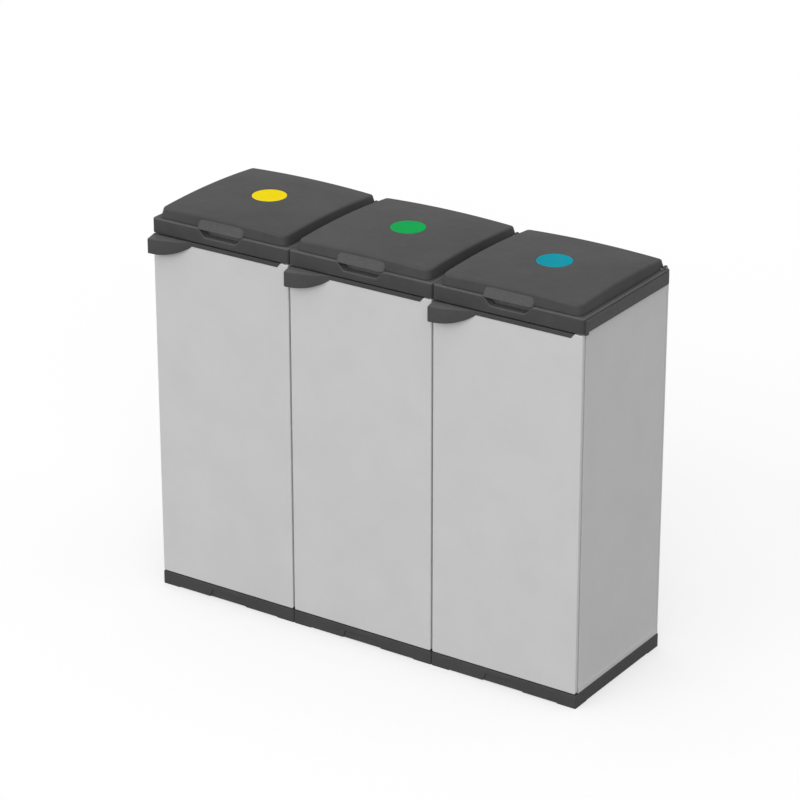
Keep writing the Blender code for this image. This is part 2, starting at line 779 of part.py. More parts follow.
def strike_plate():
    left, right, low, high = strike_edges()
    plate = box(left, right, DOOR_THICKNESS - STRIKE_THICKNESS, DOOR_THICKNESS, low, high)
    return shaped("strike_plate", plate, origin=DOOR_PIVOT)


def material(name, colour, roughness, metallic=0.0):
    made = bpy.data.materials.new(name)
    made.use_nodes = True
    shader = made.node_tree.nodes["Principled BSDF"]
    shader.inputs["Base Color"].default_value = (*colour, 1)
    shader.inputs["Roughness"].default_value = roughness
    shader.inputs["Metallic"].default_value = metallic
    return made


def pivot(name, place, parent=None):
    """Empty on a joint's axis, or at a bay's front middle, that carries its pieces."""
    empty = bpy.data.objects.new(name, None)
    empty.location = place
    empty.parent = parent
    bpy.context.scene.collection.objects.link(empty)
    return empty


def place(name, mesh, finish, parent):
    piece = bpy.data.objects.new(name, mesh)
    piece.parent = parent
    bpy.context.scene.collection.objects.link(piece)
    if not mesh.materials:
        mesh.materials.append(finish)


def mirrored(mesh):
    """The same piece for the other side of the bay."""
    other = mesh.copy()
    other.transform(Matrix.Scale(-1, 4, (1, 0, 0)))
    other.flip_normals()
    return other


def main():
    for old in list(bpy.data.objects):
        bpy.data.objects.remove(old, do_unlink=True)
    dark = material("charcoal_resin", (0.066, 0.066, 0.066), 0.55)
    pale = material("light_grey_resin", (0.53, 0.53, 0.53), 0.5)
    steel = material("zinc_plated_steel", (0.6, 0.6, 0.58), 0.35, 1.0)
    disc_colours = {
        "1": material("yellow_disc", (0.87, 0.70, 0.012), 0.45),
        "2": material("green_disc", (0.006, 0.38, 0.08), 0.45),
        "3": material("blue_disc", (0.005, 0.31, 0.43), 0.45),
    }
    left_panel, left_pin = side_panel(), lid_pin()
    fixed = {
        "plinth": (plinth(), dark),
        "side_panel_left": (left_panel, pale),
        "side_panel_right": (mirrored(left_panel), pale),
        "back_panel": (back_panel(), pale),
        "top_frame": (top_frame(), dark),
        "bag_ring": (bag_ring(), dark),
        "lid_pin_left": (left_pin, steel),
        "lid_pin_right": (mirrored(left_pin), steel),
        "door_pin_top": (door_pin(top=True), steel),
        "door_pin_bottom": (door_pin(top=False), steel),
        "door_catch": (door_catch(), dark),
    }
    on_door = {
        "door": (door(), pale),
        "door_handle": (door_handle(), dark),
        "strike_plate": (strike_plate(), steel),
    }
    lid_mesh = lid()
    for index, bay in enumerate(BAY_NAMES):
        x = (index - (len(BAY_NAMES) - 1) / 2) * BAY_PITCH + ROW_SHIFT
        bay_place = pivot(f"bay_{bay}", (x, FRONT_Y, 0))
        lid_hinge = pivot(f"lid_hinge_{bay}", LID_PIVOT, bay_place)
        door_hinge = pivot(f"door_hinge_{bay}", DOOR_PIVOT, bay_place)
        for parent, pieces in ((bay_place, fixed), (door_hinge, on_door)):
            for name, (mesh, finish) in pieces.items():
                place(f"{name}_{bay}", mesh, finish, parent)
        place(f"lid_{bay}", lid_mesh, dark, lid_hinge)
        place(f"lid_disc_{bay}", lid_disc(), disc_colours[bay], lid_hinge)


main()
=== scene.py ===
"""Looks of the three-bay recycling cabinet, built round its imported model.

Shapes are worked out in millimetres in a bay's own frame: x from the bay's middle, y from the
front plane backwards, z up from the floor. A piece is moved to its bay, in metres, as it is made.
"""

import math

import bpy
import numpy as np
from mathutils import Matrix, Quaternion, Vector


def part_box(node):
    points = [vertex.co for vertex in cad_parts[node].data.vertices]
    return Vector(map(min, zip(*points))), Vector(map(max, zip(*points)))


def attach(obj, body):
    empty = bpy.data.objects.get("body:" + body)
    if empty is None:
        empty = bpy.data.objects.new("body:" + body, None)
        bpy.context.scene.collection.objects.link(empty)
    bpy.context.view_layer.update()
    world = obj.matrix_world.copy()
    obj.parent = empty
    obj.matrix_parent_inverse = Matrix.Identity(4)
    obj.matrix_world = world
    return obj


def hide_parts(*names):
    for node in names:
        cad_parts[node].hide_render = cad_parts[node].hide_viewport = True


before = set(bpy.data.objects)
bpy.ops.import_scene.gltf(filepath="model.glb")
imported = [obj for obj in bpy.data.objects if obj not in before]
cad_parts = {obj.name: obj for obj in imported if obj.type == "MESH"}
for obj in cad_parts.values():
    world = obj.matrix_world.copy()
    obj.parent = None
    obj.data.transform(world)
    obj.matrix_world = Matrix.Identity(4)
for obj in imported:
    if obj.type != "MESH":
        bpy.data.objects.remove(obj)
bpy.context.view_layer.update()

MM = 0.001
BAYS = ("1", "2", "3")
SHARP_ANGLE = math.radians(32)
FIT = 0.3

# A small rounded edge: its radius, and how far the middle of its bend lies inside the corner
SOFT = 0.8
SOFT_BEND = 0.23

# Bay
HALF = 169.7
DEPTH = 328.0
CORNER = 6.0

# Plinth
PLINTH_TOP = 29.0
PLINTH_WALL = 4.0
PLINTH_UNDER = 25.0
PLINTH_CORNER = 3.0
PLINTH_EDGE = 1.5
FOOT_LENGTH = 43.0
FOOT_LIFT = 1.5
TOE_HALF = 47.0
TOE_TOP = 19.0
TOE_SLANT = 7.0
TOE_DEPTH = 2.4
BOSS_FOOT = 17.0

# Walls
WALL_LOW = 29.3
WALL_HIGH = 792.7
SIDE_OUTER = 168.7
SIDE_INNER = 162.7
BACK_OUTER = 326.0
BACK_INNER = 321.0
LIP_HALF = 162.4
LIP_FRONT = 12.8
LIP_BACK = 320.7
LIP_WALL = 3.0
LIP_ROUND = 4.0
LIP_HEIGHT = 10.0
LIP_EDGE = 0.6
WALL_BORDER = 13.0
WALL_ROUND = 1.2
WALL_FIELD_DEPTH = 0.7

# Top frame
APRON_LOW = 793.0
RIM = 825.0
FLANGE_UNDER = 821.0
RIM_ROUND = 4.0
APRON_WALL = 3.5
MOUTH_HALF = 143.7
MOUTH_FRONT = 34.0
MOUTH_BACK = 292.0
MOUTH_ROUND = 30.0
MOUTH_EDGE = 1.2
LEDGE_TOP = 813.0
LEDGE_LOW = 809.0
LEDGE_WIDTH = 6.0
COLLAR_WALL = 3.0
NOTCH_TOP_HALF = 58.0
NOTCH_LOW_HALF = 36.0
NOTCH_DROP = 17.0
NOTCH_DEPTH = 19.0
SCOOP_WALL = 3.0
TROUGH_FRONT = 312.7
TROUGH_HALF = 163.0
TROUGH_DROP = 5.8
BEAM_FRONT = 308.7

# Rail and the groove that takes the next bay's rail
RAIL_REACH = 4.8
RAIL_FRONT = 5.0
RAIL_BACK = 316.0
RAIL_LOW = 797.5
RAIL_HIGH = 820.5
RAIL_TIP = 7.5
RAIL_TIP_LOW = 791.2
GROOVE = 5.3

# Lid
LID_HALF = 158.7
LID_FRONT = 6.0
LID_BACK = 326.0
LID_FOOT = 825.3
LID_SIDE_DRAFT = 3.5
LID_FRONT_DRAFT = 2.5
LID_BACK_DRAFT = 1.0
LID_FRONT_ROUND = 16.0
LID_BACK_ROUND = 8.0
LID_EDGE = 5.0
LID_SHELL = 3.0
LID_FRONT_RISE = 19.5
LID_BACK_RISE = 16.0
LID_ARCH = 6.5
LID_CROWN = 5.0
LID_MIDDLE = (LID_FRONT + LID_BACK) / 2
TAB_END = 57.0
TAB_RISE = 17.5
TAB_DROP = 1.5
TAB_REACH = 9.0
TAB_ZONE = 60.0
TAB_LEAST = 0.06
TAB_ROOT_POWER = 14
TAB_PUSH_POWER = 16
DISC_RADIUS = 36.0
DISC_Y = LID_MIDDLE + 6.0
DISC_THICKNESS = 1.4
DISC_PROUD = 0.4
HINGE_Y = 320.0
HINGE_Z = 826.5
LID_PIVOT = (0, HINGE_Y, HINGE_Z)
PIN_HOLE = 2.3
BOSS_RADIUS = 4.3
EAR_INNER = 160.5
EAR_OUTER = 165.7
EAR_ROUND = 4.6
EAR_REACH = 10.0
EAR_TOE = 8.0
TUBE_INNER = 144.7
TUBE_OUTER = 150.7

# Sack ring
RING_SEAT = 813.3
RING_HIGH = 817.3
RING_LOW = 791.3
RING_NECK = 6.3
RING_WALL = 3.5

# Door
DOOR_HALF = 168.0
DOOR_LOW = 31.2
DOOR_HIGH = 790.2
DOOR_THICK = 12.0
DOOR_ROUND = 1.8
DOOR_END_ROUND = 2.0
DOOR_LEFT_CORNER = 4.0
DOOR_RIGHT_CORNER = 4.5
DOOR_SKIN = 3.0
DOOR_RIB = 3.0
DOOR_STILE = 14.0
DOOR_TOP_RAIL = 30.0
DOOR_LOW_RAIL = 12.0
POCKET_COLUMNS = 4
POCKET_ROWS = 7
DOOR_PIVOT_X = 162.0
DOOR_PIVOT = (DOOR_PIVOT_X, DOOR_THICK / 2, 0)
STRIP_LOW = 781.7
STRIP_RIGHT = 142.0
STRIP_SLANT = 7.0
STRIP_DEPTH = 7.0
STRIP_PROUD = 1.0

# Handle
HANDLE_REACH = 21.0
HANDLE_LENGTH = 96.0
HANDLE_DROP = 36.5
HANDLE_FALL = 5.0
HANDLE_WALL = 3.0
HANDLE_TIP_REACH = 1.5
HANDLE_TIP_RISE = 26.0
HANDLE_GRIP_END = 0.756

# Catch and strike
CATCH_LEFT = -148.0
CATCH_WIDTH = 40.0
CATCH_HIGH = 782.7
CATCH_HEIGHT = 16.0
CATCH_DEPTH = 14.0
STRIKE_MARGIN = 3.0
STRIKE_THICK = 1.5
POLE_PITCH = 8.0
POLE_WIDTH = 2.0
POLE_HIGH = 779.7
POLE_LOW = 769.7

# Wear with painted highlight, as the share of the paler colour that an edge takes on; on the pull's top
# and in the finger notch the same colour is also painted light
PLINTH_WEAR_AND_HIGHLIGHT = 0.2
WALL_WEAR_AND_HIGHLIGHT = 0.5
NOTCH_WEAR_AND_LIGHT = 1.8
EAR_WEAR_AND_HIGHLIGHT = 0.7
RAIL_WEAR_AND_HIGHLIGHT = 0.6
LID_WEAR_AND_HIGHLIGHT = 0.2
TAB_WEAR_AND_HIGHLIGHT = 0.6
DISC_WEAR_AND_HIGHLIGHT = 0.9
DOOR_WEAR_AND_HIGHLIGHT = 0.5
PULL_TOP_WEAR_AND_LIGHT = 0.9
PULL_FRONT_WEAR_AND_HIGHLIGHT = 0.15


# Shapes as arrays


def quarter(steps):
    """Angles over a quarter circle, in even steps."""
    return np.linspace(0, np.pi / 2, steps + 1)


def plan(left, right, front, back, radius, rear, front_x, side, rear_side, steps=6):
    """Plan outlines, one for each value of the edges: four quarter circles joined by straight
    sides, which carry points at the given x in front and at the given shares elsewhere."""
    edges = np.broadcast_arrays(left, right, front, back, radius, rear)
    left, right, front, back, radius, rear = (np.reshape(e, (-1, 1)).astype(float) for e in edges)
    cos, sin = (f(quarter(steps)) for f in (np.cos, np.sin))
    run = (back - rear) - (front + radius)
    width = (right - rear) - (left + rear)
    whole = np.ones_like(left)
    x = [
        left + radius * (1 - cos),
        front_x * whole,
        right - radius * (1 - sin),
        right + 0 * side,
        right - rear * (1 - cos),
        right - rear - width * rear_side,
        left + rear * (1 - sin),
        left + 0 * side,
    ]
    y = [
        front + radius * (1 - sin),
        front + 0 * front_x,
        front + radius * (1 - cos),
        front + radius + run * side,
        back - rear * (1 - sin),
        back + 0 * rear_side,
        back - rear * (1 - cos),
        back - rear - run * side,
    ]
    return np.stack([np.concatenate(x, 1), np.concatenate(y, 1)], -1)


def softened(corners, radius, steps=5):
    """Outlines with round corners: each corner gives way to the circle that touches its two sides
    within their nearer halves, as a rational quadratic curve whose middle weight is the sine of half
    the corner's angle."""
    before, after = (np.roll(corners, shift, axis=-2) - corners for shift in (1, -1))
    lengths = [np.linalg.norm(side, axis=-1, keepdims=True) for side in (before, after)]
    before, after = before / lengths[0], after / lengths[1]
    half = np.arccos(np.clip((before * after).sum(-1, keepdims=True), -1, 1)) / 2
    run = np.minimum(np.asarray(radius) / np.tan(half), 0.48 * np.minimum(*lengths))
    touching = (corners + before * run, corners + after * run, corners)
    start, end, middle = (p[..., None, :] for p in touching)
    t = np.linspace(0, 1, steps + 1)[:, None]
    bend = 2 * np.sin(half)[..., None, :] * t * (1 - t)
    points = ((1 - t) ** 2 * start + bend * middle + t**2 * end) / ((1 - t) ** 2 + bend + t**2)
    return points.reshape(*corners.shape[:-2], -1, 2)


def drawn_in(outline, insets):
    """An outline with all its sides moved in by each inset: a point goes along the sum of its two
    sides' inward normals, divided by that sum's part along one of them."""
    along = np.roll(outline, -1, axis=-2) - outline
    along = along / np.linalg.norm(along, axis=-1, keepdims=True)
    inward = np.stack([-along[..., 1], along[..., 0]], -1)
    bisector = inward + np.roll(inward, 1, axis=-2)
    bisector = bisector / (bisector * inward).sum(-1, keepdims=True)
    return outline + np.reshape(insets, (-1, 1, 1)) * bisector


def rounded_edge(low, high, round_low, round_high, steps=4):
    """Insets and heights up an edge that a quarter circle rounds off at each end."""
    turn = quarter(steps)
    inset = np.concatenate([round_low * (1 - np.sin(turn)), round_high * (1 - np.cos(turn))])
    height = [low + round_low * (1 - np.cos(turn)), high - round_high * (1 - np.sin(turn))]
    return inset, np.concatenate(height)


def lifted(loops, heights, axes=(0, 1, 2)):
    """Rows of points from flat loops and a height for each row or point; axes says which of
    x, y and z the loop's two directions and the height become."""
    rows = np.empty((*loops.shape[:2], 3))
    rows[..., axes[0]], rows[..., axes[1]] = loops[..., 0], loops[..., 1]
    rows[..., axes[2]] = np.reshape(heights, (loops.shape[0], -1))
    return rows


def rectangle(left, right, low, high):
    """The four corners of a rectangle."""
    return np.array([(left, low), (right, low), (right, high), (left, high)], float)


def ramp(value, start, end):
    """0 before start, 1 after end, and the smooth cubic 3t^2 - 2t^3 between."""
    t = np.clip((value - start) / (end - start), 0, 1)
    return t * t * (3 - 2 * t)


def mirrored(half):
    """Stations on both sides of the middle, from those on one side, which begin with 0."""
    half = np.asarray(half, float)
    return np.concatenate([-half[:0:-1], half])


def outward(points, faces, edge):
    """A closed skin with its faces turned outwards: the sum over its triangles of the triple
    product of their corners is six times the volume, and must be positive."""
    volume = 0.0
    for face in faces:
        fan = points[face]
        first = fan[..., :1, :]
        volume += (first * np.cross(fan[..., 1:-1, :], fan[..., 2:, :])).sum()
    if volume < 0:
        faces = [face[..., ::-1] for face in faces]
    return points, faces, np.broadcast_to(edge, len(points))


def quads_over(index):
    """Corner numbers of the quads over a grid of point numbers."""
    corners = [index[:-1, :-1], index[:-1, 1:], index[1:, 1:], index[1:, :-1]]
    return np.stack(corners, -1).reshape(-1, 4)


def skin(rows, closed=False, edge=0.0):
    """A closed skin through rows of points that each form a loop: quads join neighbouring rows,
    and the last row joins the first, or one face closes each end. edge marks where a paler
    colour is painted, as rubbed wear with a painted highlight."""
    count, across = rows.shape[:2]
    index = np.arange(count * across).reshape(count, across)
    ends = [] if closed else [index[:1, ::-1], index[-1:]]
    rounds = np.vstack([index, index[:1]]) if closed else index
    faces = [quads_over(np.column_stack([rounds, rounds[:, :1]])), *ends]
    if np.ndim(edge) == 1:
        edge = np.reshape(edge, (-1, 1))
    marks = np.broadcast_to(edge, (count, across))
    return outward(rows.reshape(-1, 3), faces, marks.ravel())


def board(face, back, edge):
    """A board between two grids of equally many points: quads over both, and a strip that joins
    their borders."""
    index = np.arange(face.shape[0] * face.shape[1]).reshape(face.shape[:2])
    rim = np.concatenate([index[0, :-1], index[:-1, -1], index[-1, :0:-1], index[:0:-1, 0]])
    following, far = np.roll(rim, -1), index.size
    strip = np.stack([rim, rim + far, following + far, following], -1)
    quads = quads_over(index)
    points = np.concatenate([face.reshape(-1, 3), back.reshape(-1, 3)])
    marks = np.broadcast_to(edge, face.shape[:2]).ravel()
    return outward(points, [quads, quads[:, ::-1] + far, strip], np.concatenate([marks, 0 * marks]))


def turned(radii, heights, centre, axis, sides, closed=False, edge=0.0):
    """A profile of radii and heights carried round an axis through a centre."""
    angle = np.linspace(0, 2 * np.pi, sides, endpoint=False)
    circle = np.stack([np.cos(angle), np.sin(angle)], -1)
    loops = np.reshape(radii, (-1, 1, 1)) * circle
    axes = {"x": (1, 2, 0), "z": (0, 1, 2)}[axis]
    return skin(lifted(loops, heights, axes) + np.asarray(centre, float), closed, edge)


# Materials


def linear(shade):
    """An sRGB hex colour as linear red, green, blue and alpha."""
    levels = np.array([int(shade[i : i + 2], 16) for i in (1, 3, 5)]) / 255
    levels = np.where(levels <= 0.04045, levels / 12.92, ((levels + 0.055) / 1.055) ** 2.4)
    return (*levels.tolist(), 1.0)


def add(tree, kind, inputs=(), **settings):
    """Adds one node with its settings; an input takes a value, or the socket that feeds it."""
    made = tree.nodes.new(kind)
    for name, value in settings.items():
        setattr(made, name, value)
    for name, value in dict(inputs).items():
        if isinstance(value, bpy.types.NodeSocket):
            tree.links.new(value, made.inputs[name])
        else:
            made.inputs[name].default_value = value
    return made


def noise(tree, place, scale, detail, roughness=0.5):
    """Cloudy noise about one half, at a scale per metre."""
    inputs = {"Vector": place, "Scale": scale, "Detail": detail, "Roughness": roughness}
    return add(tree, "ShaderNodeTexNoise", inputs).outputs["Fac"]


def reckon(tree, operation, *values):
    """The outcome of one arithmetic operation on values or sockets."""
    return add(tree, "ShaderNodeMath", enumerate(values), operation=operation).outputs[0]


def blend(tree, share, first, second):
    """A colour that passes from the first to the second with a share."""
    return add(tree, "ShaderNodeMix", {0: share, 6: first, 7: second}, data_type="RGBA").outputs[2]


def rescaled(tree, value, before, after=(0.0, 1.0)):
    """A value carried in proportion, and clamped, from the range before to the range after."""
    ends = {"From Min": before[0], "From Max": before[1], "To Min": after[0], "To Max": after[1]}
    return add(tree, "ShaderNodeMapRange", {"Value": value, **ends}).outputs[0]


def blank(kind, name):
    """A new material or world, and its node tree, emptied."""
    made = kind.new(name)
    made.use_nodes = True
    made.node_tree.nodes.clear()
    return made, made.node_tree


# Sizes of the patterns, in millimetres. The tool's spark-eroded grain is about 0.2 mm, too fine
# for the picture, and is drawn at GRAIN; flow clouds and scuffs are at their real size.
GRAIN = 1.1
PIGMENT = 3.0
FLOW_CLOUDS = 90.0
SCUFF_LENGTH = 26.0
SCUFF_WIDTH = 1.6
ZINC_CRYSTAL = 2.0
ZINC_HAZE = 6.0

SPECK_SHARE = 0.35
SHADE_RANGE = (0.42, 0.93)
SCUFF_RANGE = (0.3, 0.7)
SCUFF_SHEEN = 0.05
POLYPROPYLENE_IOR = 1.49
ZINC_SHINE = (0.26, 0.42)


def moulded_polypropylene(name, deep, light, worn_and_lit, roughness, gloss, grain_depth):
    """Injection-moulded polypropylene. The melt leaves faint flow clouds in the colour, the eroded
    tool a fine even grain with a satin sheen, and hands rub the edges paler and smoother. Where the
    edge attribute marks them, edges take the paler colour, as this wear with a painted highlight,
    and so does the finger notch, as painted light in its shade."""
    made, tree = blank(bpy.data.materials, name)
    place = add(tree, "ShaderNodeTexCoord").outputs["Object"]
    clouds = noise(tree, place, 1 / (FLOW_CLOUDS * MM), 3.0, 0.55)
    specks = noise(tree, place, 1 / (PIGMENT * MM), 2.0, 0.6)
    mixed = reckon(tree, "MULTIPLY_ADD", specks, SPECK_SHARE, clouds)
    share = rescaled(tree, mixed, SHADE_RANGE)
    body = blend(tree, share, linear(deep), linear(light))
    # The edge attribute paints the paler colour: rubbed wear with a painted highlight, and painted
    # light in the finger notch.
    mark = add(tree, "ShaderNodeAttribute", attribute_name="edge").outputs["Fac"]
    broken = reckon(tree, "MULTIPLY", mark, specks)
    worn = blend(tree, broken, body, linear(worn_and_lit))
    along, across = 1 / SCUFF_LENGTH / MM, 1 / SCUFF_WIDTH / MM
    stretched = add(tree, "ShaderNodeMapping", {"Vector": place, "Scale": (along, across, along)})
    scuffs = noise(tree, stretched.outputs[0], 1.0, 2.0)
    sheen = rescaled(tree, scuffs, SCUFF_RANGE, (roughness - SCUFF_SHEEN, roughness + SCUFF_SHEEN))
    grain = noise(tree, place, 1 / (GRAIN * MM), 1.0)
    height = {"Height": grain, "Distance": grain_depth * MM, "Strength": 1.0}
    relief = add(tree, "ShaderNodeBump", height)
    surface = {
        "Base Color": worn,
        "Roughness": sheen,
        "Normal": relief.outputs[0],
        "IOR": POLYPROPYLENE_IOR,
        "Specular IOR Level": gloss,
    }
    shader = add(tree, "ShaderNodeBsdfPrincipled", surface)
    add(tree, "ShaderNodeOutputMaterial", {"Surface": shader.outputs[0]})
    return made


def zinc_plated_steel():
    """Barrel-plated zinc on steel: a bright grey metal with fine cloudy crystals and a soft,
    slightly uneven shine."""
    made, tree = blank(bpy.data.materials, "barrel_plated_zinc_steel")
    place = add(tree, "ShaderNodeTexCoord").outputs["Object"]
    crystals = add(tree, "ShaderNodeTexVoronoi", {"Vector": place, "Scale": 1 / (ZINC_CRYSTAL * MM)})
    haze = noise(tree, place, 1 / (ZINC_HAZE * MM), 3.0)
    colour = blend(tree, haze, linear("#A9ABA8"), linear("#D3D2C8"))
    shine = rescaled(tree, crystals.outputs["Distance"], (0.0, 1.0), ZINC_SHINE)
    surface = {"Base Color": colour, "Roughness": shine, "Metallic": 1.0}
    shader = add(tree, "ShaderNodeBsdfPrincipled", surface)
    add(tree, "ShaderNodeOutputMaterial", {"Surface": shader.outputs[0]})
    return made


# The last colour of each moulding is painted on marked edges: rubbed wear with a painted highlight, and
# painted light in the finger notch.
CHARCOAL = moulded_polypropylene(
    "spark_grained_polypropylene_charcoal",
    deep="#3B3B3B",
    light="#444444",
    worn_and_lit="#666666",
    roughness=0.7,
    gloss=0.3,
    grain_depth=0.05,
)
PALE = moulded_polypropylene(
    "satin_polypropylene_light_grey",
    deep="#CBCBCB",
    light="#D0D0D0",
    worn_and_lit="#DEDEDE",
    roughness=0.48,
    gloss=0.5,
    grain_depth=0.02,
)
ZINC = zinc_plated_steel()
# A disc's last colour is painted on its rounded rim, as wear with a painted highlight.
DISC_SHADES = {
    "1": ("yellow", "#EED400", "#F4DC0C", "#FFF080"),
    "2": ("green", "#009D47", "#00A551", "#30C07C"),
    "3": ("blue", "#008C9D", "#0096A9", "#30B4C6"),
}
DISC_SHEEN = {"roughness": 0.6, "gloss": 0.04, "grain_depth": 0.012}
DISC_FINISH = {
    bay: moulded_polypropylene(f"smooth_polypropylene_{colour}", *shades, **DISC_SHEEN)
    for bay, (colour, *shades) in DISC_SHADES.items()
}


# Pieces


def placed(name, data):
    """A new object in the scene."""
    made = bpy.data.objects.new(name, data)
    bpy.context.scene.collection.objects.link(made)
    return made


def piece(name, bay, skins, finish, body, nodes=()):
    """Joins skins into one object in its bay, in metres, and hangs it on its body."""
    low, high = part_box(f"plinth_{bay}")
    corner = np.array([(low.x + high.x) / 2, low.y, 0.0])
    points, faces, start = [], [], 0
    for part_points, part_faces, _ in skins:
        points.append(part_points * MM + corner)
        for block in part_faces:
            faces += (block + start).tolist()
        start += len(part_points)
    mesh = bpy.data.meshes.new(name)
    mesh.from_pydata(np.concatenate(points).tolist(), [], faces)
    mark = mesh.attributes.new("edge", "FLOAT", "POINT")
    mark.data.foreach_set("value", np.concatenate([e for *_, e in skins]).astype(np.float32))
    mesh.shade_smooth()
    mesh.set_sharp_from_angle(angle=SHARP_ANGLE)
    mesh.materials.append(finish)
    made = placed(f"{name}_{bay}", mesh)
    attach(made, body)
    if nodes:
        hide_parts(*(f"{node}_{bay}" for node in nodes))
    return made


def box_rounded(left, right, front, back, low, high, radius):
    """A block whose twelve edges are rounded, the upright ones by 1.3 times the radius: a soft
    rectangle carried up with quarter circles."""
    outline = softened(rectangle(left, right, front, back), radius * 1.3, 4)
    inset, height = rounded_edge(low, high, radius, radius)
    return skin(lifted(drawn_in(outline, inset), height))


def lip(low, high):
    """Upright ring that the walls' ends fit round: a closed profile with rounded edges carried
    round its plan."""
    length = LIP_BACK - LIP_FRONT - 2 * LIP_ROUND
    near = (BEAM_FRONT - np.array([SOFT, 0.0]) - LIP_FRONT - LIP_ROUND) / length
    middle = np.array([0.5])
    side = np.sort(np.concatenate([near, 1 - near, middle]))
    edges = (-LIP_HALF, LIP_HALF, LIP_FRONT, LIP_BACK, LIP_ROUND, LIP_ROUND)
    outline = plan(*edges, NOTCH_X, side, middle)[0]
    inset, height = rounded_edge(low, high, LIP_EDGE, LIP_EDGE, 3)
    insets = np.concatenate([inset, LIP_WALL - inset[::-1]])
    heights = np.concatenate([height, height[::-1]])
    return skin(lifted(drawn_in(outline, insets), heights), closed=True)


def bored_boss(start, end, pivot, axis):
    """Round boss with a pin hole: a closed profile turned about the pin's axis."""
    radii = [PIN_HOLE, BOSS_RADIUS, BOSS_RADIUS, PIN_HOLE]
    return turned(radii, [start, start, end, end], pivot, axis, 32, True)


def skirted_plinth():
    """A tray turned over: a profile of insets and heights carried round the bay's plan. Its foot
    rises between the corner feet, and the front is pressed in by a toe recess whose ends lean in
    with the height to the power 1.3."""
    step = np.array([-1.0, -0.5, 0.0, 0.5, 1.0])

    def between_feet(length):
        """Shares along a straight side, close together where the corner feet end."""
        near = (FOOT_LENGTH - PLINTH_CORNER + step) / length
        return np.sort(np.concatenate([near, 1 - near, np.linspace(0.25, 0.75, 5), [0.06, 0.94]]))

    toe = TOE_HALF + np.array([-1.2, -0.2, 0.0, 1.0])
    foot = HALF - FOOT_LENGTH + step
    inner = np.linspace(4, 40, 7)
    right_x = np.sort(np.concatenate([inner, toe, np.linspace(60, 110, 4), foot, [140, 155]]))
    front_x = np.concatenate([-right_x[::-1], right_x])
    side = between_feet(DEPTH - 2 * PLINTH_CORNER)
    rear = between_feet(2 * (HALF - PLINTH_CORNER))
    turn = quarter(4)
    inset = np.concatenate([[PLINTH_WALL, PLINTH_WALL, PLINTH_WALL - 0.5, 0.5, 0.15], np.zeros(9)])
    inset = np.concatenate([inset, PLINTH_EDGE * (1 - np.cos(turn)), [2 * PLINTH_EDGE]])
    height = [PLINTH_UNDER, 0.5, 0.0, 0.0, 0.15, 0.5, 4.0, 8.0, 12.0, 15.5]
    height += [TOE_TOP - 0.4, TOE_TOP, TOE_TOP + 0.4, 23.0]
    height = np.concatenate([height, PLINTH_TOP - PLINTH_EDGE * (1 - np.sin(turn)), [PLINTH_TOP]])
    corner = np.maximum(PLINTH_CORNER - inset, 0.5)
    edges = (-HALF + inset, HALF - inset, inset, DEPTH - inset, corner, corner)
    loops = plan(*edges, front_x, side, rear)
    x, y = loops[..., 0], loops[..., 1]
    z = np.repeat(height[:, None], x.shape[1], 1)
    between_x = ramp(HALF - FOOT_LENGTH - np.abs(x), -1, 1)
    between_y = ramp(DEPTH / 2 - FOOT_LENGTH - np.abs(y - DEPTH / 2), -1, 1)
    lift = FOOT_LIFT * np.maximum(between_x, between_y)
    z = z + lift * ramp(TOE_TOP - z, 0, TOE_TOP)
    front = (np.arange(len(inset)) >= 3)[:, None] & (y < 1)
    pressed = ramp(TOE_HALF - np.abs(x), 0, 0.2) * ramp(TOE_TOP - height, 0, 0.4)[:, None]
    lean = np.clip(z / TOE_TOP, 0, 1) ** 1.3
    lean = lean * np.clip((PLINTH_TOP - z) / (PLINTH_TOP - TOE_TOP), 0, 1)
    x = np.where(front & (np.abs(x) < TOE_HALF + 1.1), x * (1 - TOE_SLANT / TOE_HALF * lean), x)
    y = y + np.where(front, TOE_DEPTH * pressed, 0)
    # The plinth's top edge is painted a little paler, as wear with a painted highlight.
    worn_and_lit = np.where((inset > 0) & (inset < 1.2) & (height > TOE_TOP + 1), PLINTH_WEAR_AND_HIGHLIGHT, 0.0)
    tray = skin(np.stack([x, y, z], -1), edge=worn_and_lit)
    boss = bored_boss(BOSS_FOOT, PLINTH_UNDER + 0.5, DOOR_PIVOT, "z")
    return [tray, lip(PLINTH_TOP - 1, PLINTH_TOP + LIP_HEIGHT), boss]


def wall_lines(low, high, clear, count):
    """Stations across a wall: quarter circles at both ends, close lines where the rims end, and a
    count of even ones clear of the ends. Also gives the angle through which the end's rounding has
    turned at each station, 0 on the flat and a quarter circle at the end."""
    turn = quarter(4)
    arc = WALL_ROUND * (1 - np.cos(turn))
    step = np.array([-2.0, -1.0, 0.0, 1.0, 2.0])
    rims = [low + WALL_BORDER + step, high - WALL_BORDER + step]
    lines = np.sort(np.concatenate([*rims, np.linspace(low + clear, high - clear, count)]))
    places = np.concatenate([low + arc, lines, high - arc[::-1]])
    bend = np.concatenate([np.pi / 2 - turn, 0 * lines, np.pi / 2 - turn[::-1]])
    return places, bend


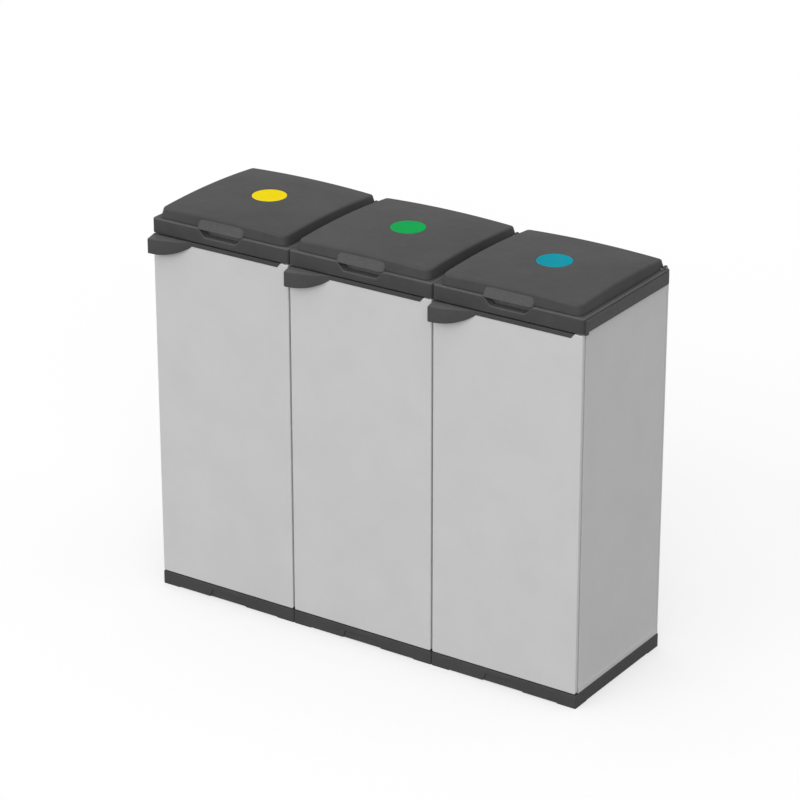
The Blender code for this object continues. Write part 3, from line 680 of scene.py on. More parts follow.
def plain_wall(start, end, out, thick, normal):
    """A wall board: a grid over its width and height whose outer face is a flat field between two
    rims that stand a little proud, and whose edges are rounded where they meet both faces."""
    u, bend_u = wall_lines(start, end, 40, 5)
    v, bend_v = wall_lines(WALL_LOW, WALL_HIGH, 60, 9)
    u, v = np.meshgrid(u, v)
    round_off = WALL_ROUND * (1 - np.cos(bend_u)[None, :] * np.cos(bend_v)[:, None])
    field = ramp(v, WALL_LOW + WALL_BORDER - 2, WALL_LOW + WALL_BORDER + 2)
    field = field * ramp(-v, -WALL_HIGH + WALL_BORDER - 2, -WALL_HIGH + WALL_BORDER + 2)
    outer = out - normal * (WALL_FIELD_DEPTH * field + round_off)
    inner = out - normal * (thick - round_off)
    # The walls' rounded edges are painted paler, as wear with a painted highlight.
    worn_and_lit = WALL_WEAR_AND_HIGHLIGHT * (round_off > 0.1) * (round_off < 1.1)
    return u, v, outer, inner, worn_and_lit


def side_wall(sign):
    """One side wall: its outer face looks along x."""
    thick = SIDE_OUTER - SIDE_INNER
    edges = (LIP_FRONT, BACK_INNER - FIT)
    y, z, outer, inner, worn_and_lit = plain_wall(*edges, sign * SIDE_OUTER, thick, sign)
    return [board(np.stack([outer, y, z], -1), np.stack([inner, y, z], -1), worn_and_lit)]


def rear_wall():
    """The back wall: its outer face looks backwards."""
    thick = BACK_OUTER - BACK_INNER
    x, z, outer, inner, worn_and_lit = plain_wall(-SIDE_OUTER, SIDE_OUTER, BACK_OUTER, thick, 1)
    return [board(np.stack([x, outer, z], -1), np.stack([x, inner, z], -1), worn_and_lit)]


def notch_drop(x, extra=0.0):
    """How far the finger notch lies under the rim at an x: level in the middle, S-shaped sides."""
    return NOTCH_DROP * ramp(NOTCH_TOP_HALF + extra - np.abs(x), 0, NOTCH_TOP_HALF - NOTCH_LOW_HALF)


NOTCH_X = mirrored(
    [0, 8, 16, 24, 30, 34, 36, 38, 40, 42.5, 45, 47.5, 50, 52.5, 55, 57, 58]
    + [59, 61, 66, 74, 82, 90, 98]
)


def mouth_frame():
    """The frame's ring: rows from the apron's foot up its face, over the rounded rim and the
    flange, into the mouth and its ledge, and back underneath to the foot. Every row runs once round
    the bay. The finger notch lowers rows near the front, the hinge trough those near the back, and
    the groove draws in the left-hand face."""
    side, rear = np.linspace(0.06, 0.94, 14), np.linspace(0.03, 0.97, 26)
    ends = np.array([0.2, 0.5, 0.8])

    def ring(half, front, back, corner, inset):
        """Plans of a rounded rectangle drawn in by insets, with the notch's stations in front."""
        last = NOTCH_X[-1]
        reach = half - corner - last
        x = np.concatenate([-last - reach * ends[::-1], NOTCH_X, last + reach * ends])
        inset = np.asarray(inset, float)
        edges = (-half + inset, half - inset, front + inset, back - inset)
        return plan(*edges, corner - inset, corner - inset, x, side, rear)

    def bay(inset):
        """Plans of the bay, drawn in."""
        return ring(HALF, 0.0, DEPTH, CORNER, inset)

    def mouth(inset):
        """Plans of the mouth, drawn in."""
        return ring(MOUTH_HALF, MOUTH_FRONT, MOUTH_BACK, MOUTH_ROUND, inset)

    turn = quarter(6)[1:]
    small = quarter(3)[1:]
    foot = lifted(
        bay([APRON_WALL - 0.5, SOFT, SOFT_BEND, 0.0]),
        [APRON_LOW, APRON_LOW, APRON_LOW + SOFT_BEND, APRON_LOW + SOFT],
    )
    face = lifted(bay([0.0, 0.0]), [FLANGE_UNDER - 0.3, FLANGE_UNDER])
    rim = lifted(bay(RIM_ROUND * (1 - np.cos(turn))), FLANGE_UNDER + RIM_ROUND * np.sin(turn))
    share = [0.12, 0.25, 0.341, 0.358, 0.377, 0.394, 0.44, 0.493, 0.51, 0.527, 0.545, 0.6, 0.7, 0.85, 1]
    share = np.array(share)[:, None, None]
    flat = bay([RIM_ROUND]) + share * (mouth([-MOUTH_EDGE]) - bay([RIM_ROUND]))
    flange = lifted(flat, np.full(len(share), RIM))
    bend = lifted(mouth(-MOUTH_EDGE * (1 - np.sin(small))), RIM - MOUTH_EDGE * (1 - np.cos(small)))
    inset = [0.0, 0.25, SOFT, LEDGE_WIDTH - SOFT, LEDGE_WIDTH - SOFT_BEND, LEDGE_WIDTH]
    inset += [LEDGE_WIDTH, LEDGE_WIDTH - SOFT, SOFT - COLLAR_WALL, -COLLAR_WALL]
    height = [LEDGE_TOP + SOFT, LEDGE_TOP + 0.25, LEDGE_TOP, LEDGE_TOP, LEDGE_TOP - SOFT_BEND]
    height += [LEDGE_TOP - SOFT, LEDGE_LOW + SOFT, LEDGE_LOW, LEDGE_LOW, LEDGE_LOW + SOFT]
    ledge = lifted(mouth(inset), height)
    share = np.array([0.0, 0.15, 0.309, 0.345, 0.436, 0.464, 0.6, 0.8, 1.0])[:, None, None]
    flat = mouth([-COLLAR_WALL]) + share * (bay([APRON_WALL]) - mouth([-COLLAR_WALL]))
    under = lifted(flat, np.full(len(share), FLANGE_UNDER))
    hem = lifted(bay([APRON_WALL]), [APRON_LOW + 0.5])

    for block, hollow in ((face, 0.0), (rim, 0.0), (flange, 0.0), (under, SCOOP_WALL)):
        x, y, z = (block[..., i] for i in range(3))
        near = y < NOTCH_DEPTH + hollow
        z -= np.where(near, notch_drop(x, hollow), 0.0)
        if hollow:
            trough = ramp(y, BEAM_FRONT - SOFT, BEAM_FRONT)
        else:
            trough = ramp(y, TROUGH_FRONT - SOFT, TROUGH_FRONT + SOFT)
        z -= TROUGH_DROP * trough * ramp(TROUGH_HALF - np.abs(x), -0.6, 0.6)
    for block in (foot, face[:1], under[-1:], hem):
        x, y = block[..., 0], block[..., 1]
        left = (x < -HALF + 4) & (y > RAIL_FRONT - SOFT) & (y < RAIL_BACK + 4)
        x += np.where(left, GROOVE, 0.0)
    rows = np.concatenate([foot, face, rim, flange, bend, ledge, under, hem])
    worn_and_lit = np.zeros(rows.shape[:2])
    start = len(foot) + len(face)
    inside = start + len(rim)
    # The rim's rounding is painted paler, as rubbed wear with a painted highlight.
    worn_and_lit[start:inside] = np.sin(2 * np.linspace(0.2, 1.4, len(rim)))[:, None]
    # The notch's floor is painted paler: some finger wear, mostly painted light where the tab shades
    # it.
    notch_floor_lit = (flange[..., 1] < NOTCH_DEPTH + 1) * (notch_drop(flange[..., 0]) > 1)
    worn_and_lit[inside : inside + len(flange)] = NOTCH_WEAR_AND_LIGHT * notch_floor_lit
    return skin(rows, closed=True, edge=worn_and_lit)


def hinge_ear(sign):
    """An ear with a pin hole: an outline in depth and height and the hole's circle, joined over
    both faces and through the hole, with the outline's edges rounded."""
    front, back, high = HINGE_Y - EAR_REACH, HINGE_Y + EAR_ROUND, HINGE_Z + EAR_ROUND
    corners = [(front - EAR_TOE, RIM - 1), (back, RIM - 1), (back, HINGE_Z + 1.6)]
    corners += [(HINGE_Y + 2.6, high), (HINGE_Y - 2.9, high), (front, RIM + 2.2)]
    outline = softened(np.array(corners, float), np.array([[0.4], [0.4], [2.5], [3], [3], [3]]))
    inset, height = rounded_edge(EAR_INNER, EAR_OUTER, 0.7, 0.9)
    loops = drawn_in(outline, inset)
    aim = np.arctan2(outline[:, 1] - HINGE_Z, outline[:, 0] - HINGE_Y)
    circle = np.stack([HINGE_Y + PIN_HOLE * np.cos(aim), HINGE_Z + PIN_HOLE * np.sin(aim)], -1)
    loops = np.concatenate([loops, circle[None], circle[None]])
    height = sign * np.concatenate([height, [EAR_OUTER, EAR_INNER]])
    # The ear's rounded edges are painted paler, as wear with a painted highlight.
    worn_and_lit = np.concatenate([EAR_WEAR_AND_HIGHLIGHT * (inset > 0), [0, 0]])
    return skin(lifted(loops, height, (1, 2, 0)), closed=True, edge=worn_and_lit)


def side_rail():
    """The rail on the right-hand face and its tip in front: an L in depth and height carried out
    along x with its outer edges rounded."""
    corners = [(RAIL_FRONT, RAIL_TIP_LOW), (RAIL_FRONT + RAIL_TIP, RAIL_TIP_LOW)]
    corners += [(RAIL_FRONT + RAIL_TIP, RAIL_LOW), (RAIL_BACK, RAIL_LOW)]
    corners += [(RAIL_BACK, RAIL_HIGH), (RAIL_FRONT, RAIL_HIGH)]
    outline = softened(np.array(corners, float), 1.2, 4)
    inset, height = rounded_edge(HALF - 1, HALF + RAIL_REACH, 0.05, 1.0)
    # The rail's rounded edges are painted paler, as wear with a painted highlight.
    return skin(lifted(drawn_in(outline, inset), height, (1, 2, 0)), edge=RAIL_WEAR_AND_HIGHLIGHT * (inset > 0.1))


def top_frame():
    """The frame's ring and what stands on it. The lip below it keeps under the notch's floor in
    front and under the hinge trough at the back."""
    frame_lip = lip(APRON_LOW - LIP_HEIGHT, FLANGE_UNDER + 1)
    x, y, z = frame_lip[0].T
    sunk = TROUGH_DROP * ramp(y, BEAM_FRONT - SOFT, BEAM_FRONT)
    sunk += np.where(y < MOUTH_FRONT, notch_drop(x, SCOOP_WALL), 0.0)
    z -= np.where(z > APRON_LOW, sunk, 0.0)
    boss = bored_boss(APRON_LOW, FLANGE_UNDER + 0.5, DOOR_PIVOT, "z")
    return [mouth_frame(), frame_lip, hinge_ear(-1), hinge_ear(1), side_rail(), boss]


def sack_ring():
    """Ring on the mouth's ledge: an L-shaped profile with soft edges carried round the mouth."""
    outline = softened(rectangle(-MOUTH_HALF, MOUTH_HALF, MOUTH_FRONT, MOUTH_BACK), MOUTH_ROUND, 12)
    inner = RING_NECK + RING_WALL
    corners = [(FIT, RING_SEAT), (FIT, RING_HIGH), (inner, RING_HIGH), (inner, RING_LOW)]
    corners += [(RING_NECK, RING_LOW), (RING_NECK, RING_SEAT)]
    radius = np.array([[0.6], [1.4], [1.6], [0.9], [0.9], [0.5]])
    profile = softened(np.array(corners, float), radius, 4)
    return [skin(lifted(drawn_in(outline, profile[:, 0]), profile[:, 1]), closed=True)]


def lid_top(x, y):
    """Height of the lid's top: a slope from front to back, an arch along it and a crown across."""
    along, aside = (y - LID_MIDDLE) / (LID_MIDDLE - LID_FRONT), x / LID_HALF
    slope = LID_FRONT_RISE + (LID_BACK_RISE - LID_FRONT_RISE) * (along + 1) / 2
    return RIM + slope + LID_ARCH * (1 - along**2) + LID_CROWN * (1 - aside**2)


TAB_X = mirrored(
    [0, 7, 14, 21, 28, 35, 41, 45, 48, 50.5, 52.5, 54, 55.2, 56, 56.6, 57]
    + [58, 62, 70, 82, 96, 110, 124, 136]
)


def lid_loops(draft, inset):
    """Plans of the lid with a share of its draft, drawn in by insets."""
    draft, inset = np.broadcast_arrays(np.asarray(draft, float), np.asarray(inset, float))
    shares = np.linspace(0.04, 0.96, 18)
    return plan(
        -LID_HALF + draft * LID_SIDE_DRAFT + inset,
        LID_HALF - draft * LID_SIDE_DRAFT - inset,
        LID_FRONT + draft * LID_FRONT_DRAFT + inset,
        LID_BACK - draft * LID_BACK_DRAFT - inset,
        np.maximum(LID_FRONT_ROUND - inset, 1.0),
        np.maximum(LID_BACK_ROUND - inset, 1.0),
        TAB_X,
        shares,
        shares,
        steps=8,
    )


def tab_share(x, y, power):
    """1 in the tab's middle, falling to 0 at its ends as a superellipse of the given power."""
    return np.sqrt(1 - np.clip(np.abs(x) / TAB_END, 0, 1) ** power) * (y < TAB_ZONE)


def lid_wall(inset, top, down):
    """Rows of the lid's wall from a top row of heights down to its foot. In front it is pushed out
    into the tab, in step with the depth under the tab's arched root line to the power 1.15, and
    less near the tab's ends."""
    loops = lid_loops(1 - down, inset)
    x, y = loops[..., 0], loops[..., 1]
    arch = tab_share(x, y, TAB_ROOT_POWER)
    lip_z = LID_FOOT + SOFT - TAB_DROP * arch
    z = top + (lip_z - top) * down[:, None]
    fall = (LID_FOOT + TAB_RISE * arch - z) / (TAB_RISE * arch + TAB_DROP * arch - (SOFT - 0.01))
    fall = np.where(arch > TAB_LEAST, np.clip(fall, 0, 1), 0.0)
    push = TAB_REACH * tab_share(x, y, TAB_PUSH_POWER) * fall**1.15
    return np.stack([x, y - push, z], -1)


def lid_shell():
    """The lid's skin, from the disc's recess over the crowned top, round its edge and down the
    wall, then up inside. Between the recess's circle and the edge, points lie on straight lines in
    plan and on the crowned top in height."""
    edge = lid_loops(1.0, LID_EDGE)[0]
    aim = np.arctan2(edge[:, 1] - DISC_Y, edge[:, 0])
    around = np.stack([np.cos(aim), np.sin(aim)], -1)

    def circle(radius):
        """A circle about the disc's middle, its points in line with the edge's."""
        return np.array([0.0, DISC_Y]) + radius * around

    def on_top(loops, drop=0.0):
        """Loops laid on the crowned top, or a drop below it."""
        return lifted(loops, lid_top(loops[..., 0], loops[..., 1]) - drop)

    floor = lid_top(0, DISC_Y) + DISC_PROUD - DISC_THICKNESS - FIT
    hole = DISC_RADIUS + FIT
    recess = lifted(np.stack([circle(hole - 0.4), circle(hole)]), [floor, floor + 0.2])
    brim_loops = np.stack([circle(hole), circle(hole + 0.2), circle(hole + 0.6)])
    brim = on_top(brim_loops, np.array([[0.6], [0.2], [0.0]]))
    share = np.array([0.06, 0.15, 0.26, 0.38, 0.5, 0.62, 0.74, 0.84, 0.92, 0.97, 1.0])
    top = on_top(brim_loops[-1] + share[:, None, None] * (edge - brim_loops[-1]))
    turn = quarter(7)[1:]
    edge_loops = lid_loops(1.0, LID_EDGE * (1 - np.sin(turn)))
    edge_rows = on_top(edge_loops, LID_EDGE * (1 - np.cos(turn))[:, None])
    wall = lid_wall(0.0, edge_rows[-1, :, 2], np.linspace(0, 1, 19)[1:])
    foot_inset = np.array([SOFT_BEND, SOFT, LID_SHELL - SOFT, LID_SHELL - SOFT_BEND])
    foot = lifted(lid_loops(0.0, foot_inset), LID_FOOT + np.array([SOFT_BEND, 0.0, 0.0, SOFT_BEND]))
    x, y = foot[..., 0], foot[..., 1]
    arch = tab_share(x, y, TAB_ROOT_POWER)
    foot[..., 1] -= TAB_REACH * np.where(arch > TAB_LEAST, tab_share(x, y, TAB_PUSH_POWER), 0.0)
    foot[..., 2] -= TAB_DROP * arch
    turn = quarter(4)
    under_loops = lid_loops(1.0, LID_SHELL + LID_EDGE * (1 - np.cos(turn)))
    under_edge = on_top(under_loops, LID_SHELL + LID_EDGE * (1 - np.sin(turn))[:, None])
    inside = lid_wall(LID_SHELL, under_edge[0, :, 2], np.linspace(1, 0, 12)[:-1])
    ceiling_edge, hub = under_edge[-1, :, :2], circle(hole + LID_SHELL)
    share = np.array([0.15, 0.4, 0.7, 0.95])[:, None, None]
    ceiling = on_top(ceiling_edge + share * (hub - ceiling_edge), LID_SHELL)
    seat_loops = np.stack([hub, circle(hole + LID_SHELL - 0.6)])
    seat = lifted(seat_loops, [floor - LID_SHELL + 0.4, floor - LID_SHELL])
    outside = [recess, brim, top, edge_rows, wall, foot]
    rows = np.concatenate([*outside, inside, under_edge, ceiling, seat])
    worn_and_lit = np.zeros(rows.shape[:2])
    start = len(recess) + len(brim) + len(top)
    high = start + len(edge_rows)
    low = high + len(wall) + 2
    # The lid's top edge is painted a little paler, as wear with a painted highlight.
    bend = np.sin(2 * np.linspace(0.15, 1.45, len(edge_rows)))
    worn_and_lit[start:high] = LID_WEAR_AND_HIGHLIGHT * bend[:, None]
    # The tab's lip is painted paler, as wear with a painted highlight that makes the tab read brighter.
    x, y, z = (rows[high:low, :, i] for i in range(3))
    root = LID_FOOT + TAB_RISE * tab_share(x, y, TAB_ROOT_POWER)
    worn_and_lit[high:low] = TAB_WEAR_AND_HIGHLIGHT * ramp(root - z, 0, 1.5) * (tab_share(x, y, TAB_PUSH_POWER) > 0.1)
    return skin(rows, edge=worn_and_lit)


def crowned_lid():
    """The lid's shell and, inside its rear corners, the two tubes that take its pins."""
    tubes = [bored_boss(sign * TUBE_INNER, sign * TUBE_OUTER, LID_PIVOT, "x") for sign in (-1, 1)]
    return [lid_shell(), *tubes]


def colour_disc():
    """A thin disc turned from a profile with a rounded rim and a faintly domed face."""
    low = lid_top(0, DISC_Y) + DISC_PROUD - DISC_THICKNESS
    turn = quarter(5)
    rim = DISC_RADIUS - SOFT * (1 - np.cos(turn))
    rise = DISC_THICKNESS - SOFT * (1 - np.sin(turn))
    dome = DISC_THICKNESS + np.array([0.03, 0.10, 0.16, 0.18])
    within = DISC_RADIUS - np.array([2.5, 10.0, 20.0, 30.0])
    radii = np.concatenate([[DISC_RADIUS - 0.3, DISC_RADIUS], rim, within])
    heights = np.concatenate([[0.0, 0.3], rise, dome])
    # The disc's rounded rim is painted paler, as wear with a painted highlight ring.
    mark = np.concatenate([[0, 0], DISC_WEAR_AND_HIGHLIGHT * np.sin(2 * turn), 0 * dome])
    return [turned(radii, low + heights, (0, DISC_Y, 0), "z", 96, edge=mark)]


def well(u, v, left, right, low, high, soft):
    """1 inside a rectangle and 0 outside it, with sides that slope over a soft width."""
    wide = ramp(u, left, left + soft) * ramp(-u, -right, -right + soft)
    return wide * ramp(v, low, low + soft) * ramp(-v, -high, -high + soft)


def flat_door():
    """The door as a board between two grids: x and z stations run over its width and height, the
    front's depth is a rounding at its edges and a step for the strip, whose end leans with the
    height, and the back's depth is the thickness less the pockets, the strike's seat and the
    rounding about the hinge. At the lower corners, x is drawn in to a quarter circle."""
    left, right = -DOOR_HALF + DOOR_RIB, DOOR_HALF - DOOR_STILE
    low, high = DOOR_LOW + DOOR_LOW_RAIL, DOOR_HIGH - DOOR_TOP_RAIL
    wide = (right - left + DOOR_RIB) / POCKET_COLUMNS
    tall = (high - low + DOOR_RIB) / POCKET_ROWS
    pocket_x = left + wide * np.arange(POCKET_COLUMNS)
    pocket_z = low + tall * np.arange(POCKET_ROWS)
    soft = 1.0
    ease = soft * np.array([0.0, 0.3, 0.7, 1.0])
    margin = STRIKE_MARGIN - FIT
    seat_x = (CATCH_LEFT + margin, CATCH_LEFT + CATCH_WIDTH - margin)
    seat_z = (CATCH_HIGH - CATCH_HEIGHT + margin, CATCH_HIGH - margin)
    seat_lines_x, seat_lines_z = ([a, a + FIT, b - FIT, b] for a, b in (seat_x, seat_z))
    lines_x = [pocket_x[:, None] + ease, pocket_x[:, None] + wide - DOOR_RIB - ease, seat_lines_x]
    near_hinge = [155.0, 158.5, 161.0, 162.5, 164.0, 165.2]
    lines_x += [[STRIP_RIGHT, STRIP_RIGHT + 0.3], near_hinge]
    lines_z = [pocket_z[:, None] + ease, pocket_z[:, None] + tall - DOOR_RIB - ease, seat_lines_z]
    lines_z += [DOOR_LOW + np.array([3.0, 4.5]), [STRIP_LOW - 0.6, STRIP_LOW - 0.3, 787.0]]
    lines_x, lines_z = (
        np.unique(np.round(np.concatenate([np.ravel(group) for group in lines]), 3))
        for lines in (lines_x, lines_z)
    )
    lines_x = lines_x[(lines_x > -DOOR_HALF + DOOR_ROUND) & (lines_x < DOOR_HALF - DOOR_ROUND)]
    turn = quarter(6)
    arc = DOOR_ROUND * (1 - np.sin(turn))
    x = np.concatenate([-DOOR_HALF + arc[::-1], lines_x, DOOR_HALF - arc])
    bend_x = np.concatenate([turn[::-1], 0 * lines_x, turn])
    turn = quarter(4)
    arc = DOOR_END_ROUND * (1 - np.sin(turn))
    z = np.concatenate([DOOR_LOW + arc[::-1], lines_z, DOOR_HIGH - arc])
    bend_z = np.concatenate([turn[::-1], 0 * lines_z, turn])
    rounding = DOOR_ROUND * (1 - np.cos(bend_x))[None, :]
    ending = DOOR_END_ROUND * (1 - np.cos(bend_z))[:, None]
    front = np.maximum(rounding, ending)
    x, z = np.meshgrid(x, z)
    stepped = ramp(-x, -STRIP_RIGHT - 0.3, -STRIP_RIGHT) * ramp(z, STRIP_LOW - 0.6, STRIP_LOW - 0.3)
    front = np.maximum(front, (STRIP_DEPTH + FIT) * stepped)
    hollow = np.zeros_like(x)
    for at in pocket_x:
        for up in pocket_z:
            pocket = well(x, z, at, at + wide - DOOR_RIB, up, up + tall - DOOR_RIB, soft)
            hollow = np.maximum(hollow, pocket)
    back = DOOR_THICK - (DOOR_THICK - DOOR_SKIN) * hollow
    back = back - (STRIKE_THICK + FIT) * well(x, z, *seat_x, *seat_z, FIT)
    past = np.clip((x - DOOR_PIVOT_X) / (DOOR_HALF - DOOR_PIVOT_X), 0, 1)
    back = np.minimum(back, DOOR_THICK / 2 * (1 + np.sqrt(1 - past**2)))
    # The door's rounded edges are painted paler, as wear with a painted highlight.
    worn_and_lit = DOOR_WEAR_AND_HIGHLIGHT * (front > 0.3) * (front < 2.5) * (stepped < 0.01)
    up = np.clip((z - STRIP_LOW) / (DOOR_HIGH - STRIP_LOW), 0, 1)
    x = x + STRIP_SLANT * up * (np.abs(x - STRIP_RIGHT) < 0.4)
    for sign, radius in ((-1, DOOR_LEFT_CORNER), (1, DOOR_RIGHT_CORNER)):
        height = np.clip((z - DOOR_LOW) / radius, 0.01, 1)
        beyond = np.maximum(sign * x - DOOR_HALF + radius, 0)
        x = x - sign * beyond * (1 - np.sqrt(1 - (1 - height) ** 2))
    return [board(np.stack([x, front, z], -1), np.stack([x, back, z], -1), worn_and_lit)]


def pull_handle():
    """The pull: a section in depth and height carried along the door's top edge. Its reach falls as
    a parabola of the share along it, its foot rises with the share to the power 2.5, and from below
    a finger hollow opens behind its front. A thin strip runs on along the door's top to a slanted
    end."""
    wall, ease = HANDLE_WALL / HANDLE_LENGTH, 0.008
    grip = [wall, wall + ease / 2, wall + ease]
    grip_end = HANDLE_GRIP_END + ease * np.array([-1, 0, 1])
    shares = [[0.012], grip, np.linspace(0.06, 0.72, 16), grip_end, np.linspace(0.79, 1.0, 8)]
    shares = np.concatenate(shares)
    open_grip = ramp(shares, wall, wall + ease)
    open_grip = open_grip * ramp(-shares, -HANDLE_GRIP_END - ease, -HANDLE_GRIP_END + ease)
    reach = np.maximum(HANDLE_REACH * (1 - shares**2), HANDLE_TIP_REACH)
    top = DOOR_HIGH - HANDLE_FALL * (1 - shares)
    foot = DOOR_HIGH - HANDLE_DROP + HANDLE_TIP_RISE * shares**2.5
    inner = np.minimum(-reach + HANDLE_WALL, -0.6)
    roof = foot + 0.05 + open_grip * (top - HANDLE_WALL - foot)
    back, high = np.full_like(shares, -FIT), np.full_like(shares, DOOR_HIGH)
    corners = [(back, high), (-reach, top), (-reach, foot), (inner, foot), (inner, roof), (back, roof)]
    corners = np.stack([np.stack(c, -1) for c in corners], 1)
    radius = np.array([[0.4], [2.4], [1.6], [1.2], [1.0], [0.4]])
    sections = softened(corners, radius)
    x = -DOOR_HALF + HANDLE_LENGTH * shares
    inset = np.array([1.4, 0.8, 0.37, 0.1])
    start = drawn_in(sections[0], inset)
    x = np.concatenate([-DOOR_HALF + np.array([0.0, 0.17, 0.52, 0.98]), x])
    rows = lifted(np.concatenate([start, sections]), x, (1, 2, 0))
    worn_and_lit = np.zeros(rows.shape[:2])
    # The pull's top is painted paler, as wear with painted light on its lit top; its front a little, as
    # wear with a painted highlight.
    upper, lower = 8, 18
    worn_and_lit[:, :upper] = PULL_TOP_WEAR_AND_LIGHT
    worn_and_lit[:, upper:lower] = PULL_FRONT_WEAR_AND_HIGHLIGHT
    depth = (-STRIP_PROUD, STRIP_DEPTH)
    strip = box_rounded(-DOOR_HALF, STRIP_RIGHT, *depth, STRIP_LOW, DOOR_HIGH, 0.7)
    lean = (strip[0][:, 2] - STRIP_LOW) / (DOOR_HIGH - STRIP_LOW)
    strip[0][:, 0] += STRIP_SLANT * lean * (strip[0][:, 0] > 0)
    return [skin(rows, edge=worn_and_lit), strip]


def magnet_case():
    """Magnet catch's case under the frame's lip, a block with soft edges."""
    width = (CATCH_LEFT, CATCH_LEFT + CATCH_WIDTH)
    depth = (LIP_FRONT, LIP_FRONT + CATCH_DEPTH)
    return [box_rounded(*width, *depth, CATCH_HIGH - CATCH_HEIGHT, CATCH_HIGH, 1.0)]


def magnet_poles():
    """The two steel poles that stand out of the case towards the strike plate."""
    poles = []
    for sign in (-1, 1):
        middle = CATCH_LEFT + CATCH_WIDTH / 2 + sign * POLE_PITCH / 2
        width = (middle - POLE_WIDTH / 2, middle + POLE_WIDTH / 2)
        depth = (DOOR_THICK + FIT, LIP_FRONT + 1)
        poles.append(box_rounded(*width, *depth, POLE_LOW, POLE_HIGH, 0.2))
    return poles


def strike():
    """Thin steel plate in the door's back, its corners rounded."""
    left, right = CATCH_LEFT + STRIKE_MARGIN, CATCH_LEFT + CATCH_WIDTH - STRIKE_MARGIN
    low, high = CATCH_HIGH - CATCH_HEIGHT + STRIKE_MARGIN, CATCH_HIGH - STRIKE_MARGIN
    outline = softened(rectangle(left, right, low, high), 1.5)
    inset, height = rounded_edge(DOOR_THICK - STRIKE_THICK, DOOR_THICK, 0.2, 0.3, 3)
    return [skin(lifted(drawn_in(outline, inset), height, (0, 2, 1)))]


for bay in BAYS:
    lid_body, door_body = f"lid_{bay}", f"door_{bay}"
    piece("skirted_plinth", bay, skirted_plinth(), CHARCOAL, "cabinet", ["plinth"])
    piece("left_wall", bay, side_wall(-1), PALE, "cabinet", ["side_panel_left"])
    piece("right_wall", bay, side_wall(1), PALE, "cabinet", ["side_panel_right"])
    piece("rear_wall", bay, rear_wall(), PALE, "cabinet", ["back_panel"])
    piece("mouth_frame", bay, top_frame(), CHARCOAL, "cabinet", ["top_frame"])
    piece("sack_ring", bay, sack_ring(), CHARCOAL, "cabinet", ["bag_ring"])
    piece("magnet_case", bay, magnet_case(), CHARCOAL, "cabinet", ["door_catch"])
    piece("magnet_poles", bay, magnet_poles(), ZINC, "cabinet")
    piece("crowned_lid", bay, crowned_lid(), CHARCOAL, lid_body, ["lid"])
    piece("colour_disc", bay, colour_disc(), DISC_FINISH[bay], lid_body, ["lid_disc"])
    piece("flat_door", bay, flat_door(), PALE, door_body, ["door"])
    piece("pull_handle", bay, pull_handle(), CHARCOAL, door_body, ["door_handle"])
    piece("strike", bay, strike(), ZINC, door_body, ["strike_plate"])
    for node in ("lid_pin_left", "lid_pin_right", "door_pin_top", "door_pin_bottom"):
        steel_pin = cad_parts[f"{node}_{bay}"]
        for socket in steel_pin.material_slots:
            socket.material = ZINC


# Floor, light and camera, in metres, degrees and, for the focal length, millimetres

FLOOR_REACH = 9.0
FLOOR_GLOW = 0.5
CAMERA_AZIMUTH = 33.81
CAMERA_ELEVATION = 23.01
CAMERA_ROLL = -0.06
CAMERA_TARGET = (-0.0413, 0.0465, 0.4618)
CAMERA_DISTANCE = 6.725
FOCAL_LENGTH = 147.95


def seen_directly(tree):
    """1 for rays from the camera or a mirror-like surface, 0 for those that carry diffuse light."""
    ray = add(tree, "ShaderNodeLightPath")
    seen = ray.outputs["Is Camera Ray"]
    for kind in ("Is Glossy Ray", "Is Transmission Ray"):
        seen = reckon(tree, "MAXIMUM", seen, ray.outputs[kind])
    return seen


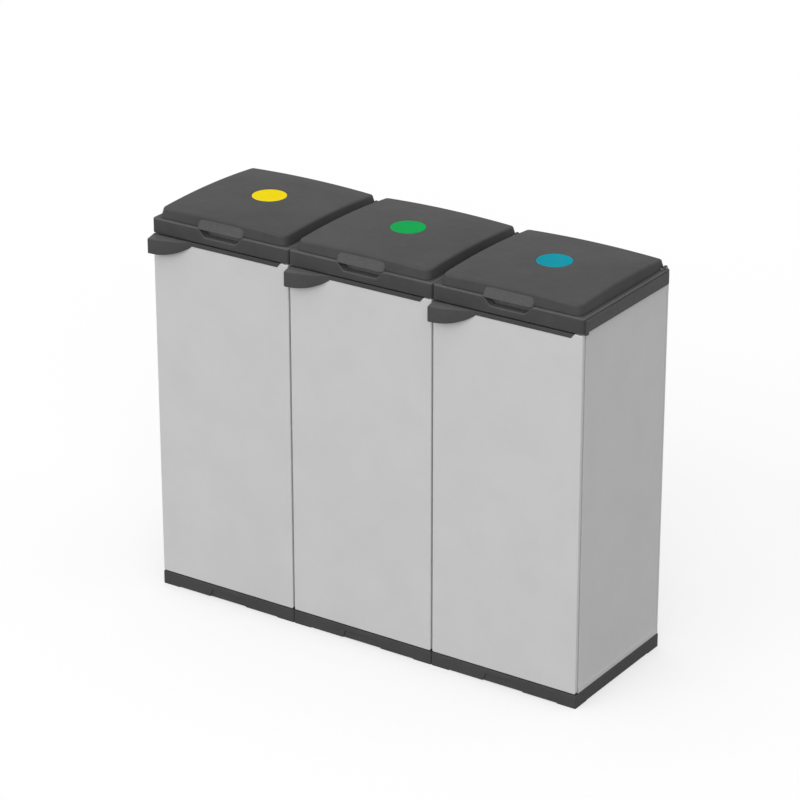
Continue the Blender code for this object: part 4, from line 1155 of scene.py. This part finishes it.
def studio_floor():
    """Pale floor: a mid grey to the light that it throws back, so that the walls keep their own
    shade. To the camera it is white paper, half of it lit from within, so that the object's shadow
    stays but is faint."""
    made, tree = blank(bpy.data.materials, "matt_paper_floor")
    seen = seen_directly(tree)
    shade = blend(tree, seen, linear("#9A9A9A"), linear("#FFFFFF"))
    paper = add(tree, "ShaderNodeBsdfDiffuse", {"Color": shade}).outputs[0]
    glow = add(tree, "ShaderNodeEmission", {"Color": (1, 1, 1, 1), "Strength": 1.0}).outputs[0]
    lit = reckon(tree, "MULTIPLY", seen, FLOOR_GLOW)
    sheet = add(tree, "ShaderNodeMixShader", {0: lit, 1: paper, 2: glow})
    add(tree, "ShaderNodeOutputMaterial", {"Surface": sheet.outputs[0]})
    square = rectangle(-FLOOR_REACH, FLOOR_REACH, -FLOOR_REACH, FLOOR_REACH)
    mesh = bpy.data.meshes.new("studio_floor")
    mesh.from_pydata(np.column_stack([square, np.zeros(4)]).tolist(), [], [(0, 1, 2, 3)])
    mesh.materials.append(made)
    floor = placed("studio_floor", mesh)


def studio_world(strength):
    """Even white surroundings that the camera and reflections see at full white."""
    world, tree = blank(bpy.data.worlds, "studio")
    bpy.context.scene.world = world
    seen = seen_directly(tree)
    level = rescaled(tree, seen, (0.0, 1.0), (strength, 1.0))
    sky = add(tree, "ShaderNodeBackground", {"Color": (1, 1, 1, 1), "Strength": level})
    add(tree, "ShaderNodeOutputWorld", {"Surface": sky.outputs[0]})


def soft_sun(name, azimuth, elevation, strength, spread):
    """Even light from one side of the room, by its angles in degrees to the right of the front and
    above the floor: a sun seen under a wide angle, so its shadows stay soft."""
    lamp = bpy.data.lights.new(name, "SUN")
    lamp.energy, lamp.angle = strength, math.radians(spread)
    made = placed(name, lamp)
    made.rotation_euler = (math.radians(90 - elevation), 0, math.radians(azimuth))


def photo_camera():
    """Camera at the photograph's angle: azimuth, elevation and roll in degrees about a target."""
    angles = (CAMERA_AZIMUTH, CAMERA_ELEVATION, CAMERA_ROLL)
    azimuth, elevation, roll = (math.radians(angle) for angle in angles)
    level = math.cos(elevation)
    away = Vector((math.sin(azimuth) * level, -math.cos(azimuth) * level, math.sin(elevation)))
    lens = bpy.data.cameras.new("photo_camera")
    lens.lens = FOCAL_LENGTH
    made = placed("photo_camera", lens)
    made.location = Vector(CAMERA_TARGET) + away * CAMERA_DISTANCE
    made.rotation_mode = "QUATERNION"
    made.rotation_quaternion = (-away).to_track_quat("-Z", "Y") @ Quaternion((0, 0, 1), roll)
    bpy.context.scene.camera = made


studio_floor()
studio_world(strength=0.5)
soft_sun("right_light", azimuth=34, elevation=30, strength=0.66, spread=40)
soft_sun("left_light", azimuth=-20, elevation=20, strength=0.84, spread=50)
soft_sun("overhead_light", azimuth=0, elevation=88, strength=0.96, spread=80)
photo_camera()
bpy.context.scene.view_settings.view_transform = "Standard"
